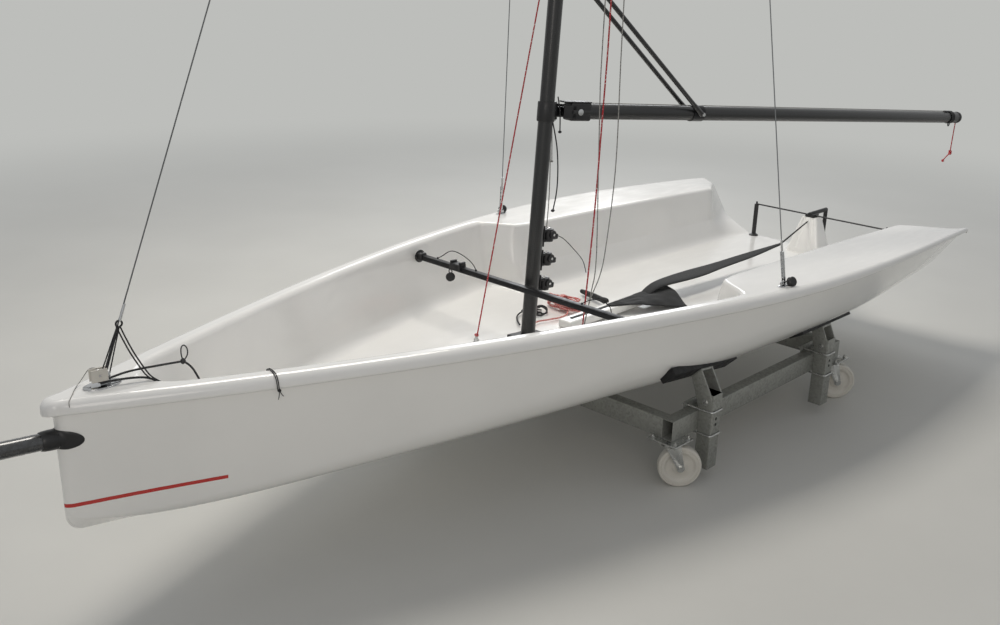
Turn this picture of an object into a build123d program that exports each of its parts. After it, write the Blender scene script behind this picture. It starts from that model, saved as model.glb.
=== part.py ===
"""Open sailing dinghy with its mast, boom and bowsprit, standing on a wheeled steel cradle.

Millimetres. X points to the bow, Y to port, Z up. The origin lies on the floor below the middle of
the cradle. Places on the boat are written as aft (back from the bow tip), y and z, where z is
counted from the lowest line of the keel.
"""

import math
import os

from build123d import *

# Hull
LENGTH = 4300.0          # bow tip to transom
HULL_SKIN = 6.0
NOSE_R = 36.0            # round end of the gunwale over the stem
STEM_AFT = 30.0          # bow tip back to the stem
STEM_WALL = 24.0         # solid stem, fore and aft
RAIL_OUT = 14.0          # gunwale outside the hull side
RAIL_DROP = 34.0         # gunwale below the sheer
RAIL_IN = 8.0            # gunwale's top inside the hull side
RAIL_ROLL = 20.0         # radius of its top outer edge
RAIL_GAP = 3.2           # between the hull side and the gunwale's inner face
DECK_SKIN = 8.0
# Columns: share of the length from the stem, half beam, sheer z, keel z, bilge y, bilge z, bilge r
HULL_STATIONS = (
    (0.000, 22.0, 428.0, 32.0, 12.0, 75.0, 8.0),
    (0.040, 95.0, 426.0, 8.0, 62.0, 40.0, 30.0),
    (0.157, 296.0, 422.0, 0.0, 240.0, 35.0, 80.0),
    (0.297, 505.0, 419.0, 0.0, 450.0, 70.0, 150.0),
    (0.462, 700.0, 413.0, 6.0, 655.0, 100.0, 230.0),
    (0.625, 822.0, 402.0, 18.0, 745.0, 118.0, 270.0),
    (0.790, 838.0, 386.0, 34.0, 735.0, 105.0, 280.0),
    (1.000, 773.0, 352.0, 48.0, 590.0, 76.0, 190.0),
)

# Cockpit
FLOOR_Z_FRONT = 150.0
FLOOR_Z_MAST = 130.0
FLOOR_Z_STERN = 86.0
COVE_R = 55.0            # round corner between floor and walls
WELL_FRONT_AFT = 262.0   # front end of the open well
WELL_FULL_AFT = 350.0    # where the well has its full width
WELL_DEEP_AFT = 470.0    # where it has its full depth
SIDE_WALL = 45.0         # gunwale top beside the front well
FLOOR_INSET = 115.0      # floor edge inside the half beam in the front well
SEAT_FRONT_AFT = 2400.0  # front end of the side decks
SEAT_INNER_Y = 540.0     # inner edge of the side decks
SEAT_FLOOR_Y = 478.0     # foot of the side decks
SEAT_KNEE_Y = 515.0      # knuckle in the wall below the side decks
SEAT_KNEE_UP = 105.0     # that knuckle over the floor
SEAT_END_AFT = 4020.0    # where the side decks start to fall to the transom
LIP_Y = 430.0            # half width of the level transom lip
# Corners of the slope at the transom, outside the lip: y, z
TRANSOM_SLOPE = ((600.0, 168.0), (751.0, 354.0), (800.0, 402.0))
TRANSOM_KNEE_R = 140.0

# Mast and standing rigging
MAST_AFT = 1917.0        # mast centre at its foot
MAST_STEP_H = 28.0
MAST_LENGTH = 6150.0
MAST_RAKE = 3.7          # degrees aft
MAST_FORE_AFT = 62.0
MAST_WIDE = 52.0
MAST_WALL = 2.5
HOUNDS_H = 5350.0        # forestay and shrouds, above the foot
SPREADER_H = 2900.0
SPREADER_REACH = 430.0
SPREADER_SWEEP = 150.0
SPREADER_D = 18.0
WIRE_D = 4.0
FORESTAY_AFT = 183.0
CHAINPLATE_AFT = 2530.0
CHAINPLATE_INSET = 35.0  # inside the half beam
ADJUSTER_LENGTH = 120.0
CLEAT_HEIGHTS = (200.0, 302.0, 398.0)  # above the mast's foot
CLEAT_BACK = 43.0        # mast to the middle of the cleat's drum
CLEAT_DRUM_D = 52.0
CLEAT_TALL = 56.0

# Boom and its strut, heights above the mast foot
PIN_OFFSET = 48.0        # swing axis behind the mast centre
PIN_D = 10.0
PIN_CLEAR = 0.05
GOOSENECK_H = 880.0
TOGGLE_D = 22.0
TOGGLE_H = 48.0
TANG_T = 6.0
TANG_GAP = 0.4
BOOM_D = 60.0
BOOM_WALL = 2.5
BOOM_LENGTH = 2400.0
BOOM_START = 68.0        # tube end behind the swing axis
BOOM_SWUNG = 15.0        # degrees to port, as it stands
STRUT_TOP_H = 1400.0
STRUT_FOOT_R = 700.0     # strut foot behind the swing axis
STRUT_D = 18.0
STRUT_SPREAD = 42.0      # strut centre beside the boom's centre plane

# Bowsprit
SPRIT_D = 48.0
SPRIT_WALL = 3.0
SPRIT_OUT = 900.0        # ahead of the stem
SPRIT_IN = 500.0         # behind the stem
SPRIT_Z = 318.0
SPRIT_RISE = 5.0         # degrees
SPRIT_CLEAR = 0.3        # bowsprit in its holes
SLEEVE_T = 5.0
SLEEVE_LENGTH = 45.0      # ahead of the stem
CHEEK_LENGTH = 72.0       # behind the stem, on the hull's sides
CHEEK_SEAT = 0.3          # between the cheeks and the hull
TACK_HOLE_D = 12.0

# Jib track
TRACK_AFT = 1850.0
TRACK_Z = 372.0
TRACK_CLEAR = 0.4         # track end to the well's wall
TRACK_TALL = 22.0
TRACK_DEEP = 26.0
CAR_Y = -340.0           # car on the starboard side
CAR_LENGTH = 60.0

STRAP_T = 12.0

# Cradle, heights above the floor
HULL_LIFT = 290.0        # floor to the lowest line of the keel
CRADLE_AFT = 2620.0      # bow tip back to the middle of the cradle
WHEEL_BASE = 1230.0
WHEEL_HALF_TRACK = 655.0
WHEEL_D = 165.0
WHEEL_W = 40.0
WHEEL_BORE = 16.0
AXLE_CLEAR = 0.05
CASTOR_TRAIL = 42.0
CASTOR_H = 195.0         # floor to the top of the castor plate
CASTOR_PLATE = 115.0
CASTOR_PLATE_WIDE = 130.0
CASTOR_PLATE_T = 6.0
FORK_T = 5.0
FORK_GAP = 5.0           # wheel side to fork side
SWIVEL_D = 64.0
SWIVEL_T = 14.0
SWIVEL_GAP = 0.3
BEAM_TALL = 80.0
BEAM_WIDE = 50.0
BEAM_WALL = 3.0
BEAM_OVERHANG = 27.0     # beam end ahead of the castor
POST_SIDE = 60.0
POST_FOOT = 45.0         # floor to the foot of the post
POST_FROM_FRONT = 165.0  # front post behind the front castor
POST_GAP = 885.0
POST_TOP = 350.0
PAD_LENGTH = 420.0
PAD_WIDE = 70.0
PAD_T = 30.0
FRONT_PAD_Y = 640.0
REAR_PAD_Y = 668.0
PAD_BITE = 5.0           # pad top above the hull's bottom before it is shaped to it
PAD_CLEAR = 0.3
CHEEK_T = 6.0            # bracket cheeks beside the post's head
CHEEK_CLEAR = 0.3
CHEEK_DEEP = 62.0        # cheeks below the post's top
CHEEK_INSET = 3.0        # cheeks' edges inside the post's faces
SADDLE_HALF = 28.0       # half width of the saddle under the pad
SADDLE_T = 8.0

WELL_ROWS = (WELL_FRONT_AFT + 8.0, 300.0, WELL_FULL_AFT, 410.0, WELL_DEEP_AFT, 900.0, 1650.0, SEAT_FRONT_AFT)
WELL_OVER = 40.0         # the well's space reaches above the sheer
BOW_X = CRADLE_AFT
STEM_X = BOW_X - STEM_AFT
HULL_SPAN = LENGTH - STEM_AFT


def at(aft, y, z):
    """Point on the boat."""
    return Vector(BOW_X - aft, y, HULL_LIFT + z)


def across(aft):
    """Plane over the boat's width at one station; its own x is y and its own y is z."""
    return Plane(origin=(BOW_X - aft, 0, HULL_LIFT), x_dir=(0, 1, 0), z_dir=(1, 0, 0))


def station_aft(share):
    return STEM_AFT + share * HULL_SPAN


def station_value(aft, column):
    """A column of the station table between its rows, by straight lines."""
    share = (aft - STEM_AFT) / HULL_SPAN
    rows = HULL_STATIONS
    for low, high in zip(rows, rows[1:]):
        if share <= high[0]:
            part = (share - low[0]) / (high[0] - low[0])
            return low[column] + part * (high[column] - low[column])
    return rows[-1][column]


def half_beam(aft):
    return station_value(aft, 1)


def sheer(aft):
    return station_value(aft, 2)


def keel(aft):
    return station_value(aft, 3)


def bottom_z(aft, y):
    """Height of the hull's outside below the bilge's end, over the lowest line of the keel."""
    beam, top, low, bilge_y, bilge_z, radius = (station_value(aft, column) for column in range(1, 7))
    rise = math.atan2(bilge_z - low, bilge_y)
    turn = math.atan2(top - bilge_z, beam - bilge_y) - rise
    back = radius * math.tan(turn / 2)
    start_y = bilge_y - back * math.cos(rise)
    if y <= start_y:
        return low + y * math.tan(rise)
    start_z = bilge_z - back * math.sin(rise)
    centre_y = start_y - radius * math.sin(rise)
    centre_z = start_z + radius * math.cos(rise)
    return centre_z - math.sqrt(radius**2 - (y - centre_y)**2)


def floor_z(aft):
    """Cockpit floor, falling to the stern."""
    if aft < MAST_AFT:
        part = (aft - WELL_FRONT_AFT) / (MAST_AFT - WELL_FRONT_AFT)
        return FLOOR_Z_FRONT + part * (FLOOR_Z_MAST - FLOOR_Z_FRONT)
    part = (aft - MAST_AFT) / (LENGTH - MAST_AFT)
    return FLOOR_Z_MAST + part * (FLOOR_Z_STERN - FLOOR_Z_MAST)


def mirrored_face(aft, half, radii):
    """Closed face across the boat from one side's (y, z) points, centre line first."""
    other = [(-y, z) for y, z in reversed(half) if y > 0]
    other_radii = [r for (y, z), r in zip(reversed(half), reversed(radii)) if y > 0]
    outline = FilletPolyline(*half, *other, radius=list(radii) + other_radii, close=True)
    return across(aft) * make_face(outline)


def rod(start, end, diameter):
    """Round bar between two points."""
    start, end = Vector(start), Vector(end)
    axis = end - start
    return Solid.make_cylinder(diameter / 2, axis.length, Plane(origin=start, z_dir=axis))


def tube(start, end, diameter, wall):
    return rod(start, end, diameter) - rod(start, end, diameter - 2 * wall)


def block(x, y, z, centre):
    """Box of three sizes about a centre."""
    return Pos(*centre) * Box(x, y, z)


def both_sides(piece):
    return [piece, mirror(piece, Plane.XZ)]


# Hull and deck

def hull_form(inset, lift, front, back):
    """Loft through the stations, drawn in by inset, its flat top raised by lift."""
    faces = []
    for share, beam, top, bottom, bilge_y, bilge_z, bilge_r in HULL_STATIONS:
        aft = min(max(station_aft(share), front), back)
        flare = (beam - bilge_y) / (top - bilge_z)
        half = (
            (0.0, bottom + inset),
            (max(bilge_y - inset, 4.0), bilge_z + inset),
            (max(beam - inset, 8.0) + flare * lift, top + lift),
        )
        radius = max(bilge_r - inset, 3.0)
        faces.append(mirrored_face(aft, half, (0.0, radius, 0.0)))
    return loft(faces)


def make_hull_shell():
    """Outer skin with an open top."""
    outer = hull_form(0.0, 0.0, STEM_AFT, LENGTH)
    inner = hull_form(HULL_SKIN, 30.0, STEM_AFT + STEM_WALL, LENGTH + 20.0)
    return outer - inner - sprit_tunnel()


def sprit_tunnel():
    """Hole for the bowsprit through the stem and the foredeck's bulkhead."""
    return rod(sprit_point(-SPRIT_IN), sprit_point(STEM_AFT), SPRIT_D + 2 * SPRIT_CLEAR)


def make_deck_plate():
    """Flat deck skin that laps over the hull's edge."""
    faces = []
    for share, beam, top, *_ in HULL_STATIONS:
        aft = max(station_aft(share), NOSE_R)
        edge = beam - RAIL_IN - RAIL_GAP / 8
        half = ((edge, top - 2.0), (edge, top + DECK_SKIN))
        faces.append(mirrored_face(aft, half, (0.0, 0.0)))
    top = HULL_STATIONS[0][2]
    tall = DECK_SKIN + 2.0
    nose_r = HULL_STATIONS[0][1] - RAIL_IN - RAIL_GAP / 8
    nose = Pos(*at(NOSE_R, 0, top + DECK_SKIN - tall / 2)) * Cylinder(nose_r, tall)
    nose -= block(100, 100, 6, at(STEM_AFT, 0, top - 3))
    return loft(faces) + nose


def ease(value, start, end):
    """Smooth step from 0 to 1."""
    part = min(max((value - start) / (end - start), 0.0), 1.0)
    return part * part * (3 - 2 * part)


def front_well_row(aft):
    """Front well at one place: half widths at its floor and at its top, and its floor's height."""
    ahead = max(WELL_FULL_AFT - aft, 0.0) / (WELL_FULL_AFT - WELL_FRONT_AFT)
    open_share = math.sqrt(1 - ahead**2)
    foot = max(half_beam(aft) - FLOOR_INSET, 24.0) * open_share
    top = (half_beam(aft) - SIDE_WALL) * open_share
    deck = sheer(aft) + DECK_SKIN - 1.0
    deep = ease(aft, WELL_FRONT_AFT, WELL_DEEP_AFT)
    return foot, top, deck + deep * (floor_z(aft) - deck)


def wall_y(aft, z):
    """Inner face of the front well's wall at one height."""
    rows = [row for row in WELL_ROWS if row <= aft][-1], [row for row in WELL_ROWS if row > aft][0]
    share = (aft - rows[0]) / (rows[1] - rows[0])
    low, high = (front_well_row(row) for row in rows)
    foot = low[0] + share * (high[0] - low[0])
    top = low[1] + share * (high[1] - low[1])
    foot_z = low[2] + share * (high[2] - low[2])
    tops = [sheer(row) + WELL_OVER for row in rows]
    top_z = tops[0] + share * (tops[1] - tops[0])
    return foot + (top - foot) * (z - foot_z) / (top_z - foot_z)


def make_well():
    """Space of the open cockpit, from the foredeck out through the transom."""
    faces = []
    for aft in WELL_ROWS:
        foot, top, low = front_well_row(aft)
        cove = min(COVE_R, 0.4 * foot, 0.3 * (sheer(aft) + WELL_OVER - low))
        half = ((0.0, low), (foot, low), (top, sheer(aft) + WELL_OVER))
        faces.append(mirrored_face(aft, half, (0.0, cove, 0.0)))
    front = loft(faces, ruled=True)
    faces = []
    for aft in (SEAT_FRONT_AFT - 120.0, SEAT_END_AFT):
        low, deck = floor_z(aft), sheer(aft) + DECK_SKIN
        half = (
            (0.0, low),
            (SEAT_FLOOR_Y, low),
            (SEAT_KNEE_Y, low + SEAT_KNEE_UP),
            (SEAT_INNER_Y, deck),
            (SEAT_INNER_Y + 10.0, deck + WELL_OVER),
        )
        faces.append(mirrored_face(aft, half, (0.0, COVE_R, 40.0, 2.0, 0.0)))
    half = ((0.0, FLOOR_Z_STERN), (LIP_Y, FLOOR_Z_STERN), *TRANSOM_SLOPE)
    faces.append(mirrored_face(LENGTH + 2.0, half, (0.0, COVE_R, TRANSOM_KNEE_R, 40.0, 0.0)))
    rear = loft(faces, ruled=True)
    return front + rear


def make_deck_moulding(well):
    """Side decks, cockpit walls and floor as one moulding."""
    body = hull_form(HULL_SKIN, 0.0, STEM_AFT + STEM_WALL, LENGTH)
    return body + make_deck_plate() - well - sprit_tunnel()


def rail_outline(beam, top):
    """Section of the gunwale: a rolled outer edge that hooks over the hull's edge."""
    points = (
        (beam + RAIL_GAP, top - RAIL_DROP),
        (beam + RAIL_OUT, top - RAIL_DROP),
        (beam + RAIL_OUT, top + DECK_SKIN),
        (beam - RAIL_IN, top + DECK_SKIN),
        (beam - RAIL_IN, top + 0.3),
        (beam + RAIL_GAP, top + 0.3),
    )
    return FilletPolyline(*points, radius=(2.0, 4.0, RAIL_ROLL, 1.0, 0.1, 0.5), close=True)


def make_gunwale_rail():
    """Rolled edge round the deck, the two sides joined by a nose over the stem."""
    faces = []
    for share, beam, top, *_ in HULL_STATIONS:
        aft = max(station_aft(share), NOSE_R)
        faces.append(across(aft) * make_face(rail_outline(beam, top)))
    port, starboard = both_sides(loft(faces))
    _, beam, top, *_ = HULL_STATIONS[0]
    nose = revolve(Plane.XZ * make_face(rail_outline(beam, top)), Axis.Z, 180)
    nose = Location(at(NOSE_R, 0, 0)) * Rot(0, 0, -90) * nose
    return port + starboard + nose


def make_pedestal():
    """Raised foot on the centre line at the transom."""
    aft = LENGTH - 110.0
    base = Plane(at(aft, 0, floor_z(aft) + 1.5)) * RectangleRounded(150, 196, 18)
    top = Plane(at(aft, 0, floor_z(aft) + 196)) * RectangleRounded(70, 86, 12)
    body = loft([base.face(), top.face()])
    for side in (-1, 1):
        low, high = at(aft - 80, side * 40, floor_z(aft) + 30), at(aft - 36, side * 17, floor_z(aft) + 220)
        body -= rod(low, high, 26)
    return body


def make_rudder_bracket():
    """Bent tube on the centre line that reaches over the transom."""
    top = floor_z(LENGTH) + 214.0
    start, corner = at(LENGTH - 140, 0, top), at(LENGTH + 42, 0, top)
    foot = at(LENGTH + 42, 0, top - 150)
    tube_run = rod(start, corner, 22) + Pos(*corner) * Sphere(11) + rod(corner, foot, 22) + Pos(*foot) * Sphere(11)
    brace = rod(foot, at(LENGTH + 8.5, 0, top - 165), 16)
    seat_low = floor_z(LENGTH - 110.0) + 196.3
    saddle = block(60, 48, top - seat_low, at(LENGTH - 112, 0, (seat_low + top) / 2))
    return tube_run + brace + saddle


def make_sheet_posts():
    """Two short posts on the transom lip, each with a thin rod to the middle bracket."""
    aft = LENGTH - 30.0
    pieces = []
    for side in (-1, 1):
        foot = at(aft, side * 390, floor_z(aft) + 0.3)
        head = at(aft, side * 390, floor_z(aft) + 185)
        stay = at(LENGTH - 112, side * 25.4, floor_z(LENGTH) + 206)
        pieces.append(rod(foot, head, 24) + rod(head, head + Vector(0, 0, 14), 10) + rod(head, stay, 8))
    return pieces


def make_centreboard_case():
    """Low top of the centreboard case on the floor behind the mast."""
    aft = 2400.0
    return block(520, 70, 36, at(aft, 0, floor_z(aft - 260) + 18.3))


# Bow

def sprit_point(ahead):
    """Point on the bowsprit's centre line, ahead of the stem."""
    rise = math.tan(math.radians(SPRIT_RISE)) * ahead
    return at(STEM_AFT - ahead, 0, SPRIT_Z + rise)


def make_bowsprit():
    return tube(sprit_point(-SPRIT_IN), sprit_point(SPRIT_OUT), SPRIT_D, SPRIT_WALL)


def make_sprit_sleeve():
    """Collar round the bowsprit with a pointed cheek on each side of the stem."""
    radius = SPRIT_D / 2 + SLEEVE_T
    collar = rod(sprit_point(-1.0), sprit_point(SLEEVE_LENGTH), 2 * radius)
    outline = Pos(STEM_X, 0, sprit_point(0.0).Z) * Rot(90, 0, 0) * Ellipse(CHEEK_LENGTH, radius)
    cheeks = extrude(outline, 100, both=True) & hull_form(-SLEEVE_T, 0.0, STEM_AFT, LENGTH)
    sleeve = collar + cheeks - hull_form(-CHEEK_SEAT, 0.0, STEM_AFT, LENGTH)
    return sleeve - rod(sprit_point(-2 * CHEEK_LENGTH), sprit_point(2 * SLEEVE_LENGTH), SPRIT_D)


def make_sprit_cap():
    """Plug in the bowsprit's end with the hole that the tack line leaves by."""
    end = sprit_point(SPRIT_OUT)
    plug = rod(sprit_point(SPRIT_OUT - 30), end, SPRIT_D - 2 * SPRIT_WALL - 0.2)
    plug += rod(end, sprit_point(SPRIT_OUT + 14), SPRIT_D)
    return plug - rod(sprit_point(SPRIT_OUT - 40), sprit_point(SPRIT_OUT + 24), TACK_HOLE_D)


def make_stem_fitting():
    """Plate on the foredeck with the upright tang of the forestay."""
    top = sheer(FORESTAY_AFT) + DECK_SKIN
    plate = block(110, 60, 4, at(FORESTAY_AFT - 10, 0, top + 3.0))
    tang = block(30, 5, 34, at(FORESTAY_AFT, 0, top + 21.5))
    return plate + tang


# Mast

MAST_FOOT = at(MAST_AFT, 0, FLOOR_Z_MAST + MAST_STEP_H)
MAST = Location(MAST_FOOT) * Rot(0, -MAST_RAKE, 0)
BOOM = MAST * Pos(-PIN_OFFSET, 0, GOOSENECK_H) * Rot(0, 0, -BOOM_SWUNG)


def mast_point(x, y, h):
    return (MAST * Pos(x, y, h)).position


def boom_point(back, side, up):
    """Point on the boom: behind the swing axis, to port of it and above it."""
    return (BOOM * Pos(-back, side, up)).position


def make_mast_tube():
    outline = Ellipse(MAST_FORE_AFT / 2, MAST_WIDE / 2)
    hollow = Ellipse(MAST_FORE_AFT / 2 - MAST_WALL, MAST_WIDE / 2 - MAST_WALL)
    return MAST * extrude(outline - hollow, MAST_LENGTH)


def make_mast_step():
    """Base on the floor, its top square to the mast."""
    step = block(150, 90, MAST_STEP_H + 20, at(MAST_AFT, 0, FLOOR_Z_MAST + MAST_STEP_H / 2))
    above = MAST * Pos(0, 0, 100) * Box(300, 300, 200)
    below = block(300, 300, 40, at(MAST_AFT, 0, FLOOR_Z_MAST + 3 - 20))
    return step - above - below


def make_masthead():
    cap = MAST * Pos(0, 0, MAST_LENGTH) * extrude(Ellipse(MAST_FORE_AFT / 2, MAST_WIDE / 2), 12)
    crane = MAST * Pos(-45, 0, MAST_LENGTH + 16) * Box(110, 14, 12)
    return cap + crane


def make_tangs(height, reach):
    """Two level tangs behind the mast with the pin between them, about the swing axis."""
    inner = MAST_FORE_AFT / 2
    gap = TOGGLE_H + 2 * TANG_GAP
    plate = Pos(-inner - 2.5, 0, height) * Box(5, 36, gap + 2 * TANG_T)
    pieces = plate
    for sign in (-1, 1):
        z = height + sign * (gap + TANG_T) / 2
        pieces += Pos(-(inner + reach) / 2, 0, z) * Box(reach - inner, TOGGLE_D, TANG_T)
        pieces += Pos(-PIN_OFFSET, 0, z) * Cylinder(TOGGLE_D / 2, TANG_T)
    pieces += Pos(-PIN_OFFSET, 0, height) * Cylinder(PIN_D / 2, gap + 2 * TANG_T + 6)
    return MAST * pieces


def make_spreaders():
    """Pair of struts that hold the shrouds out, joined by a bracket round the mast."""
    bracket = extrude(Ellipse(MAST_FORE_AFT / 2 + 4, MAST_WIDE / 2 + 4), 50, both=False)
    bracket -= extrude(Ellipse(MAST_FORE_AFT / 2 + 0.2, MAST_WIDE / 2 + 0.2), 50)
    bracket = MAST * Pos(0, 0, SPREADER_H - 25) * bracket
    parts = bracket
    for side in (-1, 1):
        root = mast_point(0, side * (MAST_WIDE / 2 + 3.4), SPREADER_H)
        parts += rod(root, spreader_tip(side), SPREADER_D)
    return parts


def spreader_tip(side):
    return mast_point(-SPREADER_SWEEP, side * SPREADER_REACH, SPREADER_H)


def chainplate_top(side):
    y = half_beam(CHAINPLATE_AFT) - CHAINPLATE_INSET
    return at(CHAINPLATE_AFT, side * y, sheer(CHAINPLATE_AFT) + DECK_SKIN)


def shroud_foot(side):
    """Top of the adjuster, on the line from the chainplate to the spreader tip."""
    plate = chainplate_top(side) + Vector(0, 0, 20)
    return plate + (spreader_tip(side) - plate).normalized() * ADJUSTER_LENGTH


def make_shroud(side):
    outer = Vector(0, side * (SPREADER_D / 2 + WIRE_D), 0)
    tip = spreader_tip(side) + outer
    hounds = mast_point(-10, side * (MAST_WIDE / 2 + WIRE_D / 2 + 0.5), HOUNDS_H)
    lower = rod(shroud_foot(side), tip, WIRE_D)
    upper = rod(tip, hounds, WIRE_D)
    return lower + upper + Pos(*tip) * Sphere(WIRE_D / 2)


def make_adjusters():
    """Flat vernier plates between the chainplates and the shrouds."""
    pieces = []
    for side in (-1, 1):
        plate = chainplate_top(side) + Vector(0, 0, 20)
        end = shroud_foot(side)
        pieces.append(rod(plate, end - (end - plate).normalized() * 0.3, 14))
    return pieces


def make_chainplates():
    pieces = []
    for side in (-1, 1):
        pieces.append(block(40, 6, 17.7, chainplate_top(side) + Vector(0, 0, 9.75)))
    return pieces


def make_forestay():
    foot = at(FORESTAY_AFT, 0, sheer(FORESTAY_AFT) + DECK_SKIN + 39.5)
    head = mast_point(MAST_FORE_AFT / 2 + WIRE_D / 2 + 0.5, 0, HOUNDS_H)
    return rod(foot, head, WIRE_D)


def make_cleat_blocks():
    """Three stacked cam cleats on swivelling bases, on the after side of the mast."""
    pieces = []
    for height in CLEAT_HEIGHTS:
        base = Pos(-CLEAT_BACK / 2, 0, 0) * Box(CLEAT_BACK, 36, 46)
        drum = Pos(-CLEAT_BACK, 0, 0) * Cylinder(CLEAT_DRUM_D / 2, CLEAT_TALL)
        pieces.append(MAST * Pos(-MAST_FORE_AFT / 2 - 0.3, 0, height) * (base + drum))
    return pieces


# Boom, in its own frame: x aft is negative, origin on the swing axis

def make_boom_tube():
    return tube(boom_point(BOOM_START, 0, 0), boom_point(BOOM_LENGTH, 0, 0), BOOM_D, BOOM_WALL)


def make_boom_toggle():
    """Barrel on the gooseneck pin with the plug that enters the boom."""
    barrel = Cylinder(TOGGLE_D / 2, TOGGLE_H)
    neck = Pos(-BOOM_START / 2, 0, 0) * Box(BOOM_START, 20, 34)
    flange = Pos(-BOOM_START + 4, 0, 0) * Rot(0, 90, 0) * Cylinder(BOOM_D / 2, 8)
    bore = Cylinder(PIN_D / 2 + PIN_CLEAR, TOGGLE_H + 10)
    return BOOM * (barrel + neck + flange - bore)


def make_boom_end():
    end = boom_point(BOOM_LENGTH, 0, 0)
    return rod(end, boom_point(BOOM_LENGTH + 16, 0, 0), BOOM_D)


STRUT_RISE = STRUT_TOP_H - GOOSENECK_H


def make_strut_swivel():
    """Barrel on the upper pin with a cross bar for the two struts."""
    barrel = Cylinder(TOGGLE_D / 2, TOGGLE_H)
    neck = Pos(-24, 0, 0) * Box(48, 16, 30)
    bar = Pos(-44, 0, 0) * Rot(90, 0, 0) * Cylinder(8, 2 * STRUT_SPREAD - STRUT_D)
    bore = Cylinder(PIN_D / 2 + PIN_CLEAR, TOGGLE_H + 10)
    return BOOM * Pos(0, 0, STRUT_RISE) * (barrel + neck + bar - bore)


def make_struts():
    """Two straight struts above the boom, one each side."""
    pieces = []
    for side in (-1, 1):
        y = side * STRUT_SPREAD
        pieces.append(rod(boom_point(44, y, STRUT_RISE), boom_point(STRUT_FOOT_R, y, 0), STRUT_D))
    return pieces


def make_strut_bolt():
    """Cross bolt and sleeve on the boom that carry the struts' feet."""
    grip = rod(boom_point(STRUT_FOOT_R, -(STRUT_SPREAD - STRUT_D / 2 - 0.3), 0),
               boom_point(STRUT_FOOT_R, STRUT_SPREAD - STRUT_D / 2 - 0.3, 0), 14)
    core = rod(boom_point(STRUT_FOOT_R, -BOOM_D / 2, 0), boom_point(STRUT_FOOT_R, BOOM_D / 2, 0), 14)
    band = rod(boom_point(STRUT_FOOT_R - 30, 0, 0), boom_point(STRUT_FOOT_R + 30, 0, 0), BOOM_D + 5)
    band -= rod(boom_point(STRUT_FOOT_R - 31, 0, 0), boom_point(STRUT_FOOT_R + 31, 0, 0), BOOM_D + 0.2)
    return band + (grip - rod(boom_point(STRUT_FOOT_R - 40, 0, 0), boom_point(STRUT_FOOT_R + 40, 0, 0), BOOM_D + 2))


# Jib track

def make_jib_track():
    low = wall_y(TRACK_AFT - TRACK_DEEP / 2, TRACK_Z - TRACK_TALL / 2)
    return block(TRACK_DEEP, 2 * (low - TRACK_CLEAR), TRACK_TALL, at(TRACK_AFT, 0, TRACK_Z))


def make_jib_car():
    middle = at(TRACK_AFT, CAR_Y, TRACK_Z)
    car = block(TRACK_DEEP + 16, CAR_LENGTH, TRACK_TALL + 16, middle)
    return car - block(TRACK_DEEP + 0.6, CAR_LENGTH + 10, TRACK_TALL + 0.6, middle)


STRAP_RUN = (
    # aft, half width, height over the floor
    (2668.0, 22.0, 19.0),
    (2760.0, 30.0, 62.0),
    (2840.0, 38.0, 66.0),
    (3560.0, 36.0, 74.0),
    (3760.0, 16.0, 80.0),
    (3880.0, 8.0, 84.0),
)


def make_hiking_strap():
    """Padded strap from the end of the centreboard case, with a short lacing to the pedestal."""
    faces = []
    for aft, half, over in STRAP_RUN:
        z = floor_z(aft) + over
        corners = ((half, z), (half, z + STRAP_T))
        faces.append(mirrored_face(aft, corners, (0.0, 0.0)))
    strap = loft(faces, ruled=True)
    start = STRAP_RUN[-1][0]
    lace = rod(at(start - 6, 0, floor_z(start) + STRAP_RUN[-1][2] + STRAP_T / 2),
               at(LENGTH - 110 - 54.0, 0, floor_z(LENGTH - 110) + 110), 6)
    return strap + lace


# Cradle

HALF_BASE = WHEEL_BASE / 2
BEAM_Z = CASTOR_H + BEAM_TALL / 2
POST_Y = WHEEL_HALF_TRACK + BEAM_WIDE / 2 + POST_SIDE / 2
CORNERS = (
    ("front_port", 1, 1),
    ("front_starboard", 1, -1),
    ("rear_port", -1, 1),
    ("rear_starboard", -1, -1),
)


def post_x(end):
    front = HALF_BASE - POST_FROM_FRONT
    return front if end > 0 else front - POST_GAP


def hollow_bar(x, y, z, centre, axis):
    """Rectangular tube open at both ends along one axis."""
    outer = block(x, y, z, centre)
    cut = [size - 2 * BEAM_WALL for size in (x, y, z)]
    cut[axis] = (x, y, z)[axis] + 2
    return outer - block(*cut, centre)


def make_side_beam(side):
    length = WHEEL_BASE + 2 * BEAM_OVERHANG
    return hollow_bar(length, BEAM_WIDE, BEAM_TALL, (0, side * WHEEL_HALF_TRACK, BEAM_Z), 0)


def make_cross_beam(end):
    width = 2 * WHEEL_HALF_TRACK - BEAM_WIDE
    return hollow_bar(BEAM_WIDE, width, BEAM_TALL, (end * HALF_BASE, 0, BEAM_Z), 1)


def make_posts():
    pieces = []
    for _, end, side in CORNERS:
        tall = POST_TOP - POST_FOOT
        centre = (post_x(end), side * POST_Y, POST_FOOT + tall / 2)
        pieces.append(hollow_bar(POST_SIDE, POST_SIDE, tall, centre, 2))
    return pieces


def under_hull(piece):
    """The piece with its top shaped to the hull above it, just clear of it."""
    return piece - Pos(0, 0, -PAD_CLEAR) * hull_form(0.0, 0.0, STEM_AFT, LENGTH)


def make_keel_pads():
    """Blocks on the cross beams under the keel."""
    pieces = []
    for end in (1, -1):
        low = CASTOR_H + BEAM_TALL
        tall = HULL_LIFT + keel(CRADLE_AFT - end * HALF_BASE) + PAD_BITE - low
        pieces.append(under_hull(block(BEAM_WIDE, 160, tall, (end * HALF_BASE, 0, low + tall / 2))))
    return pieces


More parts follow.
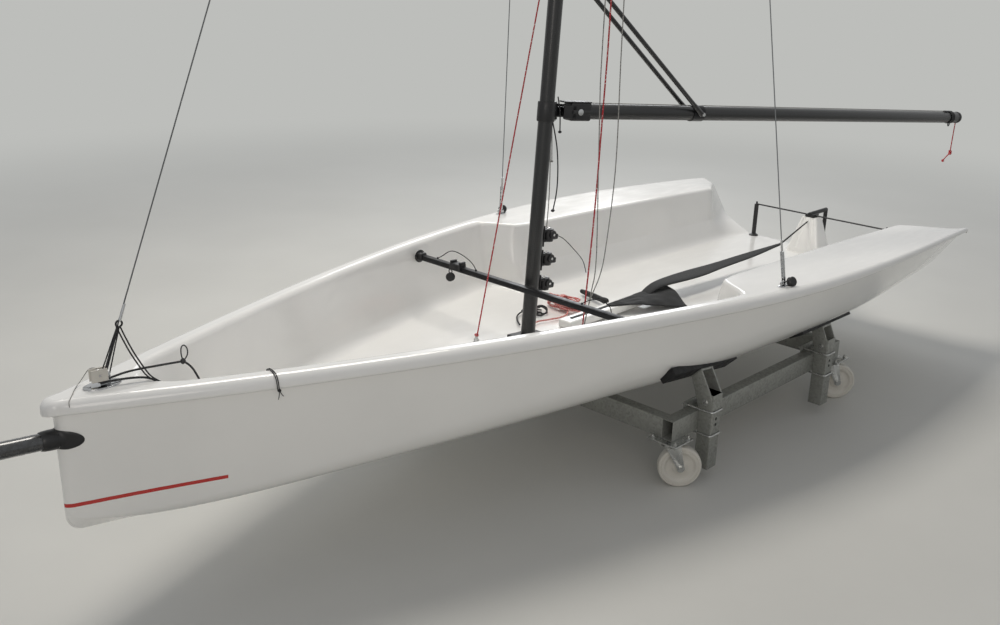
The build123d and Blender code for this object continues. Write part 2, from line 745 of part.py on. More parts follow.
def pad_plane(end, side):
    """Plane that touches the hull over one pad; its x runs forward along the hull."""
    aft = CRADLE_AFT - post_x(end)
    y = FRONT_PAD_Y if end > 0 else REAR_PAD_Y
    step = 20.0
    along = Vector(2 * step, 0, bottom_z(aft - step, y) - bottom_z(aft + step, y))
    out = Vector(0, side * 2 * step, bottom_z(aft, y + step) - bottom_z(aft, y - step))
    normal = along.cross(out) * side
    return Plane(origin=at(aft, side * y, bottom_z(aft, y)), x_dir=along, z_dir=normal)


def make_pads():
    """Rubber pads under the bilge, shaped to the hull."""
    pieces = []
    for _, end, side in CORNERS:
        pad = pad_plane(end, side) * Pos(0, 0, PAD_BITE - PAD_T / 2) * Box(PAD_LENGTH, PAD_WIDE, PAD_T)
        pieces.append(under_hull(pad))
    return pieces


def make_pad_arms():
    """Saddles under the pads, each on two cheeks that clasp the post's head."""
    pieces = []
    for _, end, side in CORNERS:
        plane = pad_plane(end, side)
        under = PAD_BITE - PAD_T - PAD_CLEAR
        head = [plane.from_local_coords((0, side * y, under - SADDLE_T / 2)) for y in (SADDLE_HALF, -SADDLE_HALF)]
        inner = POST_Y - POST_SIDE / 2 + CHEEK_INSET
        outer = POST_Y + POST_SIDE / 2 - CHEEK_INSET
        outline = [(inner, POST_TOP - CHEEK_DEEP), (outer, POST_TOP - CHEEK_DEEP), (outer, POST_TOP - 12.0)]
        outline += [(abs(point.Y), point.Z) for point in head]
        cheek = extrude(Plane.YZ * make_face(Polyline(*outline, close=True)), CHEEK_T)
        if side < 0:
            cheek = mirror(cheek, Plane.XZ)
        wide = POST_SIDE / 2 + CHEEK_CLEAR
        saddle = plane * Pos(0, 0, under - SADDLE_T / 2) * Box(2 * (wide + CHEEK_T), 2 * SADDLE_HALF, SADDLE_T)
        arm = saddle + Pos(post_x(end) + wide, 0, 0) * cheek + Pos(post_x(end) - wide - CHEEK_T, 0, 0) * cheek
        above = plane * Pos(0, 0, under + 50) * Box(400, 400, 100)
        pieces.append(arm - above)
    return pieces


def make_castor_plates():
    pieces = []
    for _, end, side in CORNERS:
        x, y = end * HALF_BASE, side * WHEEL_HALF_TRACK
        top = CASTOR_H - CASTOR_PLATE_T / 2
        plate = block(CASTOR_PLATE, CASTOR_PLATE_WIDE, CASTOR_PLATE_T, (x, y, top))
        race = Pos(x, y, CASTOR_H - CASTOR_PLATE_T - SWIVEL_T / 2) * Cylinder(SWIVEL_D / 2, SWIVEL_T)
        pieces.append(plate + race)
    return pieces


def castor_frame(end, side):
    """Frame of one castor: swivel axis at the origin, trail along its own x."""
    turn = math.degrees(math.atan2(side, -1))
    return Location((end * HALF_BASE, side * WHEEL_HALF_TRACK, 0)) * Rot(0, 0, turn)


def make_fork(end, side):
    crown_top = CASTOR_H - CASTOR_PLATE_T - SWIVEL_T - SWIVEL_GAP
    wide = WHEEL_W + 2 * FORK_GAP
    crown = Pos(0, 0, crown_top - FORK_T / 2) * Cylinder(SWIVEL_D / 2, FORK_T)
    crown += Pos(8, 0, crown_top - FORK_T / 2) * Box(60, wide + 2 * FORK_T, FORK_T)
    axle_z = WHEEL_D / 2
    fork = crown
    for sign in (-1, 1):
        y = sign * (wide + FORK_T) / 2
        cheek = Polyline((-22, crown_top), (38, crown_top), (CASTOR_TRAIL + 14, axle_z),
                         (CASTOR_TRAIL, axle_z - 16), (CASTOR_TRAIL - 14, axle_z), close=True)
        face = Plane(origin=(0, y + FORK_T / 2, 0), x_dir=(1, 0, 0), z_dir=(0, -1, 0)) * make_face(cheek)
        fork += extrude(face, FORK_T)
    fork += Pos(CASTOR_TRAIL, 0, axle_z) * Rot(90, 0, 0) * Cylinder(WHEEL_BORE / 2 - AXLE_CLEAR, wide + 2 * FORK_T + 12)
    return castor_frame(end, side) * fork


def make_wheel(end, side):
    """Cast wheel: hub, dished sides and a grooved rim."""
    half, radius = WHEEL_W / 2, WHEEL_D / 2
    profile = (
        (WHEEL_BORE / 2, -half),
        (26.0, -half),
        (30.0, -half + 9.0),
        (radius - 26.0, -half + 9.0),
        (radius - 22.0, -half + 1.0),
        (radius - 3.0, -half + 1.0),
        (radius, -half + 5.0),
    )
    other = [(r, -z) for r, z in reversed(profile)]
    wheel = revolve(Plane.XZ * make_face(Polyline(*profile, *other, close=True)), Axis.Z)
    return castor_frame(end, side) * Pos(CASTOR_TRAIL, 0, WHEEL_D / 2) * Rot(90, 0, 0) * wheel


def build_nodes():
    well = make_well()
    nodes = {
        "hull_shell": make_hull_shell(),
        "deck_moulding": make_deck_moulding(well),
        "gunwale_rail": make_gunwale_rail(),
        "transom_pedestal": make_pedestal(),
        "rudder_bracket": make_rudder_bracket(),
        "sheet_posts": make_sheet_posts(),
        "centreboard_case": make_centreboard_case(),
        "stem_fitting": make_stem_fitting(),
        "bowsprit_tube": make_bowsprit(),
        "bowsprit_sleeve": make_sprit_sleeve(),
        "bowsprit_cap": make_sprit_cap(),
        "mast_tube": make_mast_tube(),
        "mast_step": make_mast_step(),
        "masthead": make_masthead(),
        "gooseneck_bracket": make_tangs(GOOSENECK_H, PIN_OFFSET),
        "strut_bracket": make_tangs(STRUT_TOP_H, PIN_OFFSET),
        "spreaders": make_spreaders(),
        "mast_cleat_blocks": make_cleat_blocks(),
        "forestay": make_forestay(),
        "shroud_port": make_shroud(1),
        "shroud_starboard": make_shroud(-1),
        "shroud_adjusters": make_adjusters(),
        "chainplates": make_chainplates(),
        "jib_track": make_jib_track(),
        "jib_car": make_jib_car(),
        "hiking_strap": make_hiking_strap(),
        "boom_tube": make_boom_tube(),
        "boom_toggle": make_boom_toggle(),
        "boom_end": make_boom_end(),
        "strut_swivel": make_strut_swivel(),
        "boom_struts": make_struts(),
        "strut_band": make_strut_bolt(),
        "cradle_beam_port": make_side_beam(1),
        "cradle_beam_starboard": make_side_beam(-1),
        "cradle_beam_front": make_cross_beam(1),
        "cradle_beam_rear": make_cross_beam(-1),
        "cradle_posts": make_posts(),
        "cradle_keel_pads": make_keel_pads(),
        "cradle_pads": make_pads(),
        "cradle_pad_arms": make_pad_arms(),
        "castor_plates": make_castor_plates(),
    }
    for name, end, side in CORNERS:
        nodes[f"castor_fork_{name}"] = make_fork(end, side)
        nodes[f"castor_wheel_{name}"] = make_wheel(end, side)
    return nodes


def write(nodes):
    os.makedirs("parts", exist_ok=True)
    for name, shape in nodes.items():
        whole = Compound(children=list(shape)) if isinstance(shape, list) else shape
        export_step(whole, f"parts/{name}.step")


write(build_nodes())
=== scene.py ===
"""Looks of an open sailing dinghy that stands on a wheeled steel cradle.

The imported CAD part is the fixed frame: metres, X to the bow, Y to port, Z up, origin on the floor
below the middle of the cradle. Places on the boat are written as aft (back from the bow tip), y
and z over the lowest line of the keel, as the part's own tables have them.
"""

import logging
import math
from dataclasses import dataclass, field
from enum import Enum
from typing import Any, Callable, Iterable, Sequence

import bpy
import numpy as np
from mathutils import Matrix, Quaternion, Vector

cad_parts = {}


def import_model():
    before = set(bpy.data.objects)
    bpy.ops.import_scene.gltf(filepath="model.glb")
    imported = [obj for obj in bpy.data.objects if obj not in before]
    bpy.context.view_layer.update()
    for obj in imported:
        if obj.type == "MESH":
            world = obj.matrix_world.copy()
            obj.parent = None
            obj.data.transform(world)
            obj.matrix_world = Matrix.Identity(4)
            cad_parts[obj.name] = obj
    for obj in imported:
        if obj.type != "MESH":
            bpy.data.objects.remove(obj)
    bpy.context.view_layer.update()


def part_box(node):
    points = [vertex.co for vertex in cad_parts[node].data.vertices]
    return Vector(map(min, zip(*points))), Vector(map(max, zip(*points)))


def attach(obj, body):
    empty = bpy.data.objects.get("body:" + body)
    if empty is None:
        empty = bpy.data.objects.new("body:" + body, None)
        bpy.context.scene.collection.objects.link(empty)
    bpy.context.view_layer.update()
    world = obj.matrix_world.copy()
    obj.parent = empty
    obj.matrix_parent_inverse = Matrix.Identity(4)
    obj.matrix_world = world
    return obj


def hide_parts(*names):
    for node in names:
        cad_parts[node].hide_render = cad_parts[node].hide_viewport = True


LOG = logging.getLogger("dinghy")
MM = 0.001
Point = tuple[float, float, float]
Flat = tuple[float, float]
Colour = tuple[float, float, float, float]
Piece = bpy.types.Object
Tree = bpy.types.NodeTree
Node = bpy.types.Node
Socket = bpy.types.NodeSocket
SIDES = (-1, 1)
DIAGONAL = 0.7854  # an eighth of a turn, for weaves and braids
WAVE_TURN = 6.28  # the wave texture counts its scale in this


class Body(Enum):
    """Rigid groups of the part that a piece can ride on."""

    BOAT = "boat_on_cradle"
    BOOM = "boom"


# Frame of the boat and of its spars


@dataclass(frozen=True)
class Boat:
    """Where the boat and the castors lie in the frame, and the places that several pieces share."""

    bow_x: float = 2.620
    lift: float = 0.290
    length: float = 4.300
    stem_aft: float = 0.030
    mast_aft: float = 1.917
    mast_foot_z: float = 0.158
    rake: float = math.radians(3.7)
    pin_offset: float = 0.048
    gooseneck_h: float = 0.880
    strut_h: float = 1.400
    hounds: Point = (0.0335, 0.0, 5.350)
    spreader_tip: Point = (-0.150, 0.430, 2.900)
    stay_aft: float = 0.183
    deck_z: float = 0.4335
    castor_x: float = 0.615
    castor_y: float = 0.655
    swung: float = math.radians(15.0)

    def at(self, aft: float, y: float, z: float) -> Vector:
        """Point on the boat."""
        return Vector((self.bow_x - aft, y, self.lift + z))

    def path(self, points: Iterable[Point]) -> list[Vector]:
        """Points on the boat, each given as (aft, y, z)."""
        return [self.at(*point) for point in points]

    def mast_frame(self) -> Matrix:
        """Frame of the mast: origin at its foot, own z up the mast, own x forward."""
        turn = Matrix.Rotation(-self.rake, 4, "Y")
        return Matrix.Translation(self.at(self.mast_aft, 0.0, self.mast_foot_z)) @ turn

    def boom_frame(self) -> Matrix:
        """Frame of the boom: origin on the swing axis, the boom along own -x."""
        seat = Matrix.Translation((-self.pin_offset, 0.0, self.gooseneck_h))
        return self.mast_frame() @ seat @ Matrix.Rotation(-self.swung, 4, "Z")

    def mast(self, x: float, y: float, h: float) -> Vector:
        """Point given in the mast's frame."""
        return self.mast_frame() @ Vector((x, y, h))

    def boom(self, back: float, side: float, up: float) -> Vector:
        """Point behind the swing axis, to port of the boom and above it."""
        return self.boom_frame() @ Vector((-back, side, up))

    def tip(self, side: int) -> Vector:
        """Outer end of a spreader, where the shroud runs over it."""
        ahead, out, up = self.spreader_tip
        return self.mast(ahead, side * out, up)


BOAT = Boat()


def side_name(side: int) -> str:
    """Port for a side of 1 and starboard for -1."""
    return "port" if side > 0 else "starboard"


# Finishes


def linear(code: str) -> Colour:
    """Colour of an sRGB hex code as linear RGBA.

    Args:
        code: Six hex digits.

    Returns:
        Linear red, green, blue and an alpha of 1.
    """
    parts = [int(code[i:i + 2], 16) / 255 for i in (0, 2, 4)]
    flat = [p / 12.92 if p <= 0.04045 else ((p + 0.055) / 1.055) ** 2.4 for p in parts]
    return (flat[0], flat[1], flat[2], 1.0)


def add_node(tree: Tree, kind: str, inputs: dict | None = None, **settings: Any) -> Node:
    """Adds a node, sets it up and links its inputs.

    Args:
        tree: The material's node tree.
        kind: Blender's name of the node type.
        inputs: Input name or index to a value, or to the socket that feeds it.
        settings: Properties of the node.

    Returns:
        The new node.
    """
    node = tree.nodes.new(kind)
    for key, value in settings.items():
        setattr(node, key, value)
    for key, value in (inputs or {}).items():
        if isinstance(value, Socket):
            tree.links.new(value, node.inputs[key])
        else:
            node.inputs[key].default_value = value
    return node


def maths(tree: Tree, operation: str, first: Any, second: Any) -> Socket:
    """Result of one of Blender's maths operations on two values or sockets."""
    return add_node(tree, "ShaderNodeMath", {0: first, 1: second}, operation=operation).outputs[0]


def blend(tree: Tree, share: Socket, low: Any, high: Any) -> Socket:
    """Colour between two colours or colour sockets."""
    return add_node(tree, "ShaderNodeMix", {0: share, 6: low, 7: high}, data_type="RGBA").outputs[2]


def ramp(tree: Tree, factor: Socket, low: Any, high: Any, span: Flat = (0.0, 1.0)) -> Socket:
    """Spreads a factor between two values.

    Args:
        tree: The material's node tree.
        factor: Socket that is spread.
        low: Value or colour at the lower end.
        high: Value or colour at the upper end.
        span: The factor's lower and upper end.

    Returns:
        The output socket.
    """
    spread = {"Value": factor, "From Min": span[0], "From Max": span[1]}
    if isinstance(low, tuple):
        return blend(tree, add_node(tree, "ShaderNodeMapRange", spread).outputs[0], low, high)
    return add_node(tree, "ShaderNodeMapRange", {**spread, "To Min": low, "To Max": high}).outputs[0]


def feed(tree: Tree, shader: Node, colour: Socket, rough: Socket | None = None) -> None:
    """Links a pattern's colour, and its roughness where it has one, to the shader."""
    tree.links.new(colour, shader.inputs["Base Color"])
    if rough:
        tree.links.new(rough, shader.inputs["Roughness"])


@dataclass(frozen=True)
class Finish:
    """A surface finish: plain values of the shader, and the pattern that a subclass adds."""

    name: str
    slot: str
    colour: str
    roughness: float = 0.5
    metallic: float = 0.0
    coat: float = 0.0
    coat_roughness: float = 0.05
    ior: float = 1.5
    sheen: float = 0.0

    def material(self) -> bpy.types.Material:
        """The finish's material, made once and then shared."""
        known = bpy.data.materials.get(self.name)
        if known:
            return known
        material = bpy.data.materials.new(self.name)
        material.use_nodes = True
        tree = material.node_tree
        shader = tree.nodes["Principled BSDF"]
        for socket, value in (("Base Color", linear(self.colour)), ("Roughness", self.roughness),
                              ("Metallic", self.metallic), ("IOR", self.ior), ("Coat Weight", self.coat),
                              ("Coat Roughness", self.coat_roughness), ("Sheen Weight", self.sheen)):
            shader.inputs[socket].default_value = value
        material.diffuse_color = linear(self.colour)
        self.pattern(tree, shader, add_node(tree, "ShaderNodeTexCoord").outputs["Object"])
        return material

    def pattern(self, tree: Tree, shader: Node, place: Socket) -> None:
        """Adds colour, roughness and relief. The plain finish has a faint mottling only."""
        cloud = noise(tree, place, 60.0, 3.0)
        colour = ramp(tree, cloud, shade(self.colour, 0.92), shade(self.colour, 1.06), (0.3, 0.7))
        feed(tree, shader, colour, ramp(tree, cloud, self.roughness * 0.85, self.roughness * 1.15))


def shade(code: str, factor: float) -> Colour:
    """Linear colour of a hex code, made darker or lighter."""
    r, g, b, a = linear(code)
    return (min(r * factor, 1.0), min(g * factor, 1.0), min(b * factor, 1.0), a)


def noise(tree: Tree, place: Socket, size_mm: float, detail: float = 2.0, stretch: Point = (1.0, 1.0, 1.0)) -> Socket:
    """Noise whose blotches are about size_mm across.

    Args:
        tree: The material's node tree.
        place: Coordinates in metres.
        size_mm: Width of a blotch.
        detail: Octaves of finer noise.
        stretch: Scale along each axis before the noise is read.

    Returns:
        The noise value's socket.
    """
    mapped = add_node(tree, "ShaderNodeMapping", {"Vector": place, "Scale": stretch})
    return add_node(tree, "ShaderNodeTexNoise", {"Vector": mapped.outputs[0], "Scale": 1.0 / (size_mm * MM),
                                                 "Detail": detail}).outputs[0]


def relief(tree: Tree, shader: Node, height: Socket, depth_mm: float, strength: float = 1.0,
           coat: bool = False) -> None:
    """Links a height pattern of a real depth to the shader's normal.

    Args:
        tree: The material's node tree.
        shader: The principled shader.
        height: Pattern from 0 to 1.
        depth_mm: What a height of 1 stands for.
        strength: Blender's bump strength.
        coat: Whether the clear coat follows the relief too.
    """
    bump = add_node(tree, "ShaderNodeBump", {"Height": height, "Distance": depth_mm * MM, "Strength": strength})
    tree.links.new(bump.outputs[0], shader.inputs["Normal"])
    if coat:
        tree.links.new(bump.outputs[0], shader.inputs["Coat Normal"])


@dataclass(frozen=True)
class Gelcoat(Finish):
    """Moulded white gelcoat: mirror gloss with a long, faint wave and a little handling haze."""

    wave_mm: float = 0.05
    stripe: str = ""
    stripe_z: Flat = (0.398, 0.410)
    stripe_x: float = 2.170

    def pattern(self, tree: Tree, shader: Node, place: Socket) -> None:
        """Adds the haze, the mould's wave and, on the hull, the red line at the bow."""
        haze = noise(tree, place, 420.0, 4.0)
        colour = ramp(tree, haze, shade(self.colour, 0.955), shade(self.colour, 1.0), (0.35, 0.65))
        smear = noise(tree, place, 30.0, 5.0, (0.25, 1.0, 1.0))
        if self.stripe:
            axes = add_node(tree, "ShaderNodeSeparateXYZ", {"Vector": place}).outputs
            above = maths(tree, "GREATER_THAN", axes[2], self.stripe_z[0])
            below = maths(tree, "LESS_THAN", axes[2], self.stripe_z[1])
            ahead = maths(tree, "GREATER_THAN", axes[0], self.stripe_x)
            band = maths(tree, "MULTIPLY", maths(tree, "MULTIPLY", above, below), ahead)
            colour = blend(tree, band, colour, linear(self.stripe))
        feed(tree, shader, colour, ramp(tree, smear, self.roughness * 0.7, self.roughness * 1.7, (0.3, 0.75)))
        relief(tree, shader, noise(tree, place, 90.0, 1.0), self.wave_mm, 0.6, True)


@dataclass(frozen=True)
class Carbon(Finish):
    """Clear-coated woven carbon: black twill with glints in small diagonal steps painted into its colour."""

    cell_mm: float = 5.0  # a real tow is about 2 mm, drawn coarser so that it shows

    def pattern(self, tree: Tree, shader: Node, place: Socket) -> None:
        """Adds the twill and the long streaks of the wound tube, and paints them lighter as a painted glint."""
        turned = add_node(tree, "ShaderNodeMapping", {"Vector": place, "Rotation": (0.6, 0.5, DIAGONAL)})
        check = add_node(tree, "ShaderNodeTexChecker", {"Vector": turned.outputs[0], "Scale": 1 / (self.cell_mm * MM)})
        streak = noise(tree, place, 14.0, 3.0, (1.0, 1.0, 0.15))
        twill_and_painted_glint = maths(tree, "MULTIPLY", check.outputs[1], streak)
        # painted glint: the twill cells and streaks are painted up to 2.4 times lighter than the black, over the real
        # weave pattern
        colour = ramp(tree, twill_and_painted_glint, shade(self.colour, 0.55), shade(self.colour, 2.4), (0.0, 0.8))
        feed(tree, shader, colour, ramp(tree, twill_and_painted_glint, self.roughness * 1.3, self.roughness * 0.7))
        relief(tree, shader, check.outputs[1], 0.05, 0.35)


@dataclass(frozen=True)
class Moulded(Finish):
    """Injection-moulded or cast surface: even colour, fine spark-eroded grain, scuffed lighter in places."""

    grain_mm: float = 0.9
    depth_mm: float = 0.06
    scuff: float = 1.25

    def pattern(self, tree: Tree, shader: Node, place: Socket) -> None:
        """Adds grain and scuffs."""
        scuffs = noise(tree, place, 24.0, 6.0)
        colour = ramp(tree, scuffs, shade(self.colour, 0.9), shade(self.colour, self.scuff), (0.45, 0.75))
        rough = ramp(tree, scuffs, self.roughness * 0.85, min(self.roughness * 1.3, 1.0), (0.4, 0.7))
        feed(tree, shader, colour, rough)
        relief(tree, shader, noise(tree, place, self.grain_mm, 2.0), self.depth_mm, 0.5)


@dataclass(frozen=True)
class Zinc(Finish):
    """Hot-dipped or plated zinc on steel: grey spangles, dull patches and a rolled surface."""

    spangle_mm: float = 9.0
    contrast: float = 0.10

    def pattern(self, tree: Tree, shader: Node, place: Socket) -> None:
        """Adds spangles, stains and dull patches."""
        cells = add_node(tree, "ShaderNodeTexVoronoi", {"Vector": place, "Scale": 1 / (self.spangle_mm * MM)})
        grey = add_node(tree, "ShaderNodeRGBToBW", {"Color": cells.outputs["Color"]}).outputs[0]
        stain = noise(tree, place, 70.0, 6.0)
        both = maths(tree, "ADD", grey, stain)
        low, high = shade(self.colour, 1 - self.contrast * 1.6), shade(self.colour, 1 + self.contrast)
        feed(tree, shader, ramp(tree, both, low, high, (0.45, 1.35)),
             ramp(tree, both, self.roughness * 1.25, self.roughness * 0.75, (0.5, 1.3)))
        relief(tree, shader, stain, 0.25, 0.25)


@dataclass(frozen=True)
class Woven(Finish):
    """Woven webbing or cloth: crossed threads with soft, dull fuzz."""

    thread_mm: float = 2.4  # about twice the real thread, so that it shows

    def pattern(self, tree: Tree, shader: Node, place: Socket) -> None:
        """Adds warp and weft and a faded, dusty mottling."""
        scale = 1 / (self.thread_mm * MM) / WAVE_TURN
        warp, weft = (add_node(tree, "ShaderNodeTexWave", {"Vector": place, "Scale": scale},
                               bands_direction=way).outputs[1] for way in "XY")
        cross = maths(tree, "MULTIPLY", warp, weft)
        both = maths(tree, "ADD", cross, noise(tree, place, 45.0, 5.0))
        feed(tree, shader, ramp(tree, both, shade(self.colour, 0.6), shade(self.colour, 1.5), (0.2, 1.4)))
        relief(tree, shader, cross, 0.4, 0.7)


@dataclass(frozen=True)
class Braid(Finish):
    """Braided rope or laid wire: strands that cross round the line, in two colours."""

    fleck: str = "D8D2C4"
    pitch_mm: float = 6.0
    share: float = 0.35
    depth_mm: float = 0.5

    def pattern(self, tree: Tree, shader: Node, place: Socket) -> None:
        """Adds strands that run along the line's own UV map."""
        own = add_node(tree, "ShaderNodeTexCoord").outputs["UV"]
        turned = add_node(tree, "ShaderNodeMapping", {"Vector": own, "Rotation": (0.0, 0.0, DIAGONAL)}).outputs[0]
        scale = 1 / (self.pitch_mm * MM)
        strands = add_node(tree, "ShaderNodeTexChecker", {"Vector": turned, "Scale": scale}).outputs[1]
        flecks = maths(tree, "GREATER_THAN", noise(tree, place, 5.0, 2.0), 1 - self.share)
        mark = maths(tree, "MULTIPLY", flecks, strands)
        feed(tree, shader, ramp(tree, mark, linear(self.colour), linear(self.fleck)))
        relief(tree, shader, strands, self.depth_mm, 0.5)


class Finishes(Enum):
    """Every finish on the boat and its cradle."""

    HULL = Gelcoat("gelcoat_hull_polished", "gelcoat_white", "F1F0EC", 0.10, coat=0.6, coat_roughness=0.03,
                   stripe="BF1B13")
    DECK = Gelcoat("gelcoat_deck_polished", "gelcoat_white", "F2F1EE", 0.16, coat=0.4, coat_roughness=0.06)
    # both carbon finishes carry a painted glint in their twill pattern
    CARBON = Carbon("carbon_twill_lacquered", "spar_black", "0C0D0E", 0.34, coat=0.35, coat_roughness=0.10)
    CARBON_OPEN = Carbon("carbon_open_weave_lacquered", "spar_black", "202225", 0.25, coat=1.0, cell_mm=11.0)
    NYLON_BLACK = Moulded("nylon_black_moulded", "plastic_black", "141416", 0.42)
    ALLOY_BLACK = Moulded("aluminium_black_anodised", "alloy_dark", "1B1C1E", 0.34, 0.55, grain_mm=0.5, depth_mm=0.02)
    STAINLESS = Zinc("stainless_steel_polished", "stainless", "B9BABB", 0.16, 1.0, spangle_mm=30.0, contrast=0.05)
    WIRE = Braid("stainless_wire_rope", "wire", "77797B", 0.35, 0.9, fleck="A9ABAD", pitch_mm=3.0, depth_mm=0.2)
    GALVANISED = Zinc("steel_hot_dip_galvanised", "galvanised", "93948F", 0.52, 0.55)
    ZINC_PLATE = Zinc("steel_bright_zinc_plated", "zinc_plated", "B4B5B3", 0.30, 0.85, spangle_mm=18.0, contrast=0.08)
    RUBBER = Moulded("rubber_black_extruded", "rubber_black", "101011", 0.68, grain_mm=1.6, depth_mm=0.12, scuff=1.6)
    NYLON_WHITE = Moulded("nylon_white_cast", "nylon_white", "DAD6CC", 0.38, grain_mm=2.0, depth_mm=0.04, scuff=0.86)
    WEBBING = Woven("webbing_dark_grey", "webbing_grey", "191A1B", 0.85, sheen=0.05)
    ROPE_RED = Braid("polyester_braid_red", "webbing_grey", "B3202A", 0.7, fleck="E7D9D2", share=0.42)
    ROPE_PALE = Braid("polyester_braid_pale_red", "webbing_grey", "C65A55", 0.75, fleck="EBD9D2", share=0.5)
    ROPE_GREY = Braid("polyester_braid_grey", "webbing_grey", "9C9A95", 0.7, fleck="4C4C4E", share=0.45)
    ROPE_BLACK = Braid("polyester_braid_black", "webbing_grey", "1A1A1B", 0.75, fleck="48484A", share=0.5)


# Modelling


def fresh() -> None:
    """Leaves edit mode and deselects everything, so that an operator acts on the new piece only."""
    if bpy.context.object and bpy.context.object.mode != "OBJECT":
        bpy.ops.object.mode_set(mode="OBJECT")
    bpy.ops.object.select_all(action="DESELECT")


def pick(piece: Piece) -> Piece:
    """Makes a piece the only selected and the active one."""
    fresh()
    piece.select_set(True)
    bpy.context.view_layer.objects.active = piece
    return piece


def settle(piece: Piece) -> Piece:
    """Moves a piece's place, turn and size into its mesh."""
    pick(piece)
    bpy.ops.object.transform_apply(location=True, rotation=True, scale=True)
    return piece


def placed(name: str, turn: Quaternion | None = None) -> Piece:
    """Names the active piece, turns it and settles it."""
    piece = bpy.context.object
    piece.name = name
    if turn is not None:
        piece.rotation_mode = "QUATERNION"
        piece.rotation_quaternion = turn
    return settle(piece)


def linked(name: str, data: bpy.types.ID) -> Piece:
    """New object in the scene for a mesh, a curve, a lamp or a camera."""
    piece = bpy.data.objects.new(name, data)
    bpy.context.scene.collection.objects.link(piece)
    return piece


def mend(piece: Piece, weld: float = 0.0, outward: bool = False, flat: float = 0.0) -> Piece:
    """Cleans a whole mesh in edit mode.

    Args:
        piece: The mesh.
        weld: Points closer than this are merged, in metres; 0 leaves them.
        outward: Whether its faces are turned to look outside.
        flat: Neighbouring faces that differ by less than this are merged, in radians; 0 leaves them.

    Returns:
        The piece.
    """
    pick(piece)
    bpy.ops.object.mode_set(mode="EDIT")
    bpy.ops.mesh.select_all(action="SELECT")
    if weld:
        bpy.ops.mesh.remove_doubles(threshold=weld)
    if outward:
        bpy.ops.mesh.normals_make_consistent(inside=False)
    if flat:
        bpy.ops.mesh.dissolve_limited(angle_limit=flat)
    bpy.ops.object.mode_set(mode="OBJECT")
    return piece


def step_top(piece: Piece, margin: float, step: float) -> Piece:
    """Insets the faces that look up and raises the inner ones by a step."""
    for face in piece.data.polygons:
        face.select = face.normal.z > 0.9
    bpy.ops.object.mode_set(mode="EDIT")
    bpy.ops.mesh.inset(thickness=margin)
    bpy.ops.transform.translate(value=(0, 0, step))
    bpy.ops.object.mode_set(mode="OBJECT")
    return piece


def facing(sheet: Piece, face: bpy.types.MeshPolygon, way: Point) -> Piece:
    """Flips a sheet if one of its faces looks away from a direction."""
    if face.normal.dot(Vector(way)) < 0:
        sheet.data.flip_normals()
    return sheet


def add_modifier(piece: Piece, kind: str, **settings: Any) -> Piece:
    """Adds a modifier with its settings and applies it."""
    pick(piece)
    modifier = piece.modifiers.new(kind.lower(), kind)
    for key, value in settings.items():
        setattr(modifier, key, value)
    bpy.ops.object.modifier_apply(modifier=modifier.name)
    return piece


def soften(piece: Piece, width: float, segments: int = 2, angle: float = 35.0) -> Piece:
    """Rounds the sharp edges of a piece by a real width, in metres."""
    return add_modifier(piece, "BEVEL", width=width, segments=segments, limit_method="ANGLE",
                        angle_limit=math.radians(angle), use_clamp_overlap=True)


def smooth(piece: Piece, angle: float = 35.0) -> Piece:
    """Shades a piece smooth, apart from edges sharper than an angle."""
    pick(piece)
    bpy.ops.object.shade_smooth_by_angle(angle=math.radians(angle))
    return piece


def along(axis: Vector) -> Quaternion:
    """Turn that takes own z onto an axis."""
    return Vector((0, 0, 1)).rotation_difference(Vector(axis))


def cube(name: str, size: Point, centre: Vector, turn: Quaternion | None = None) -> Piece:
    """Adds a box primitive at its size and place."""
    fresh()
    bpy.ops.mesh.primitive_cube_add(size=1.0, location=centre, scale=size)
    return placed(name, turn)


def bar(name: str, start: Vector, end: Vector, radius: float, sides: int = 32,
        end_radius: float | None = None) -> Piece:
    """Adds a round or tapered bar between two points."""
    start, end = Vector(start), Vector(end)
    fresh()
    bpy.ops.mesh.primitive_cone_add(vertices=sides, radius1=radius, radius2=end_radius or radius,
                                    depth=(end - start).length, location=(start + end) / 2)
    return placed(name, along(end - start))


def ball(name: str, centre: Vector, radius: float) -> Piece:
    """Adds a small round bead."""
    fresh()
    bpy.ops.mesh.primitive_uv_sphere_add(segments=20, ring_count=12, radius=radius, location=centre)
    return placed(name)


def ring(name: str, centre: Vector, axis: Vector, radius: float, wire: float) -> Piece:
    """Adds a ring of round wire about an axis."""
    fresh()
    bpy.ops.mesh.primitive_torus_add(major_radius=radius, minor_radius=wire, major_segments=36, minor_segments=10,
                                     location=centre)
    return placed(name, along(axis))


def turned(name: str, profile: Sequence[Flat], centre: Vector, axis: Vector, steps: int = 64) -> Piece:
    """Spins a profile of (radius, height) points about an axis, as on a lathe.

    Args:
        name: The piece's name.
        profile: Points from the lower end of the axis to its upper end.
        centre: Where height 0 lies.
        axis: Direction of the heights.
        steps: Faces round the piece.

    Returns:
        The closed piece.
    """
    fresh()
    bpy.ops.mesh.primitive_grid_add(x_subdivisions=len(profile) - 1, y_subdivisions=steps, size=1.0)
    piece = bpy.context.object
    turns = [2 * math.pi * (row % steps) / steps for row in range(steps + 1)]
    places = [(r * math.cos(turn), r * math.sin(turn), h) for turn in turns for r, h in profile]
    piece.data.vertices.foreach_set("co", np.array(places, np.float32).ravel())
    mend(piece, 1e-6, True)
    piece.location = centre
    return placed(name, along(axis))


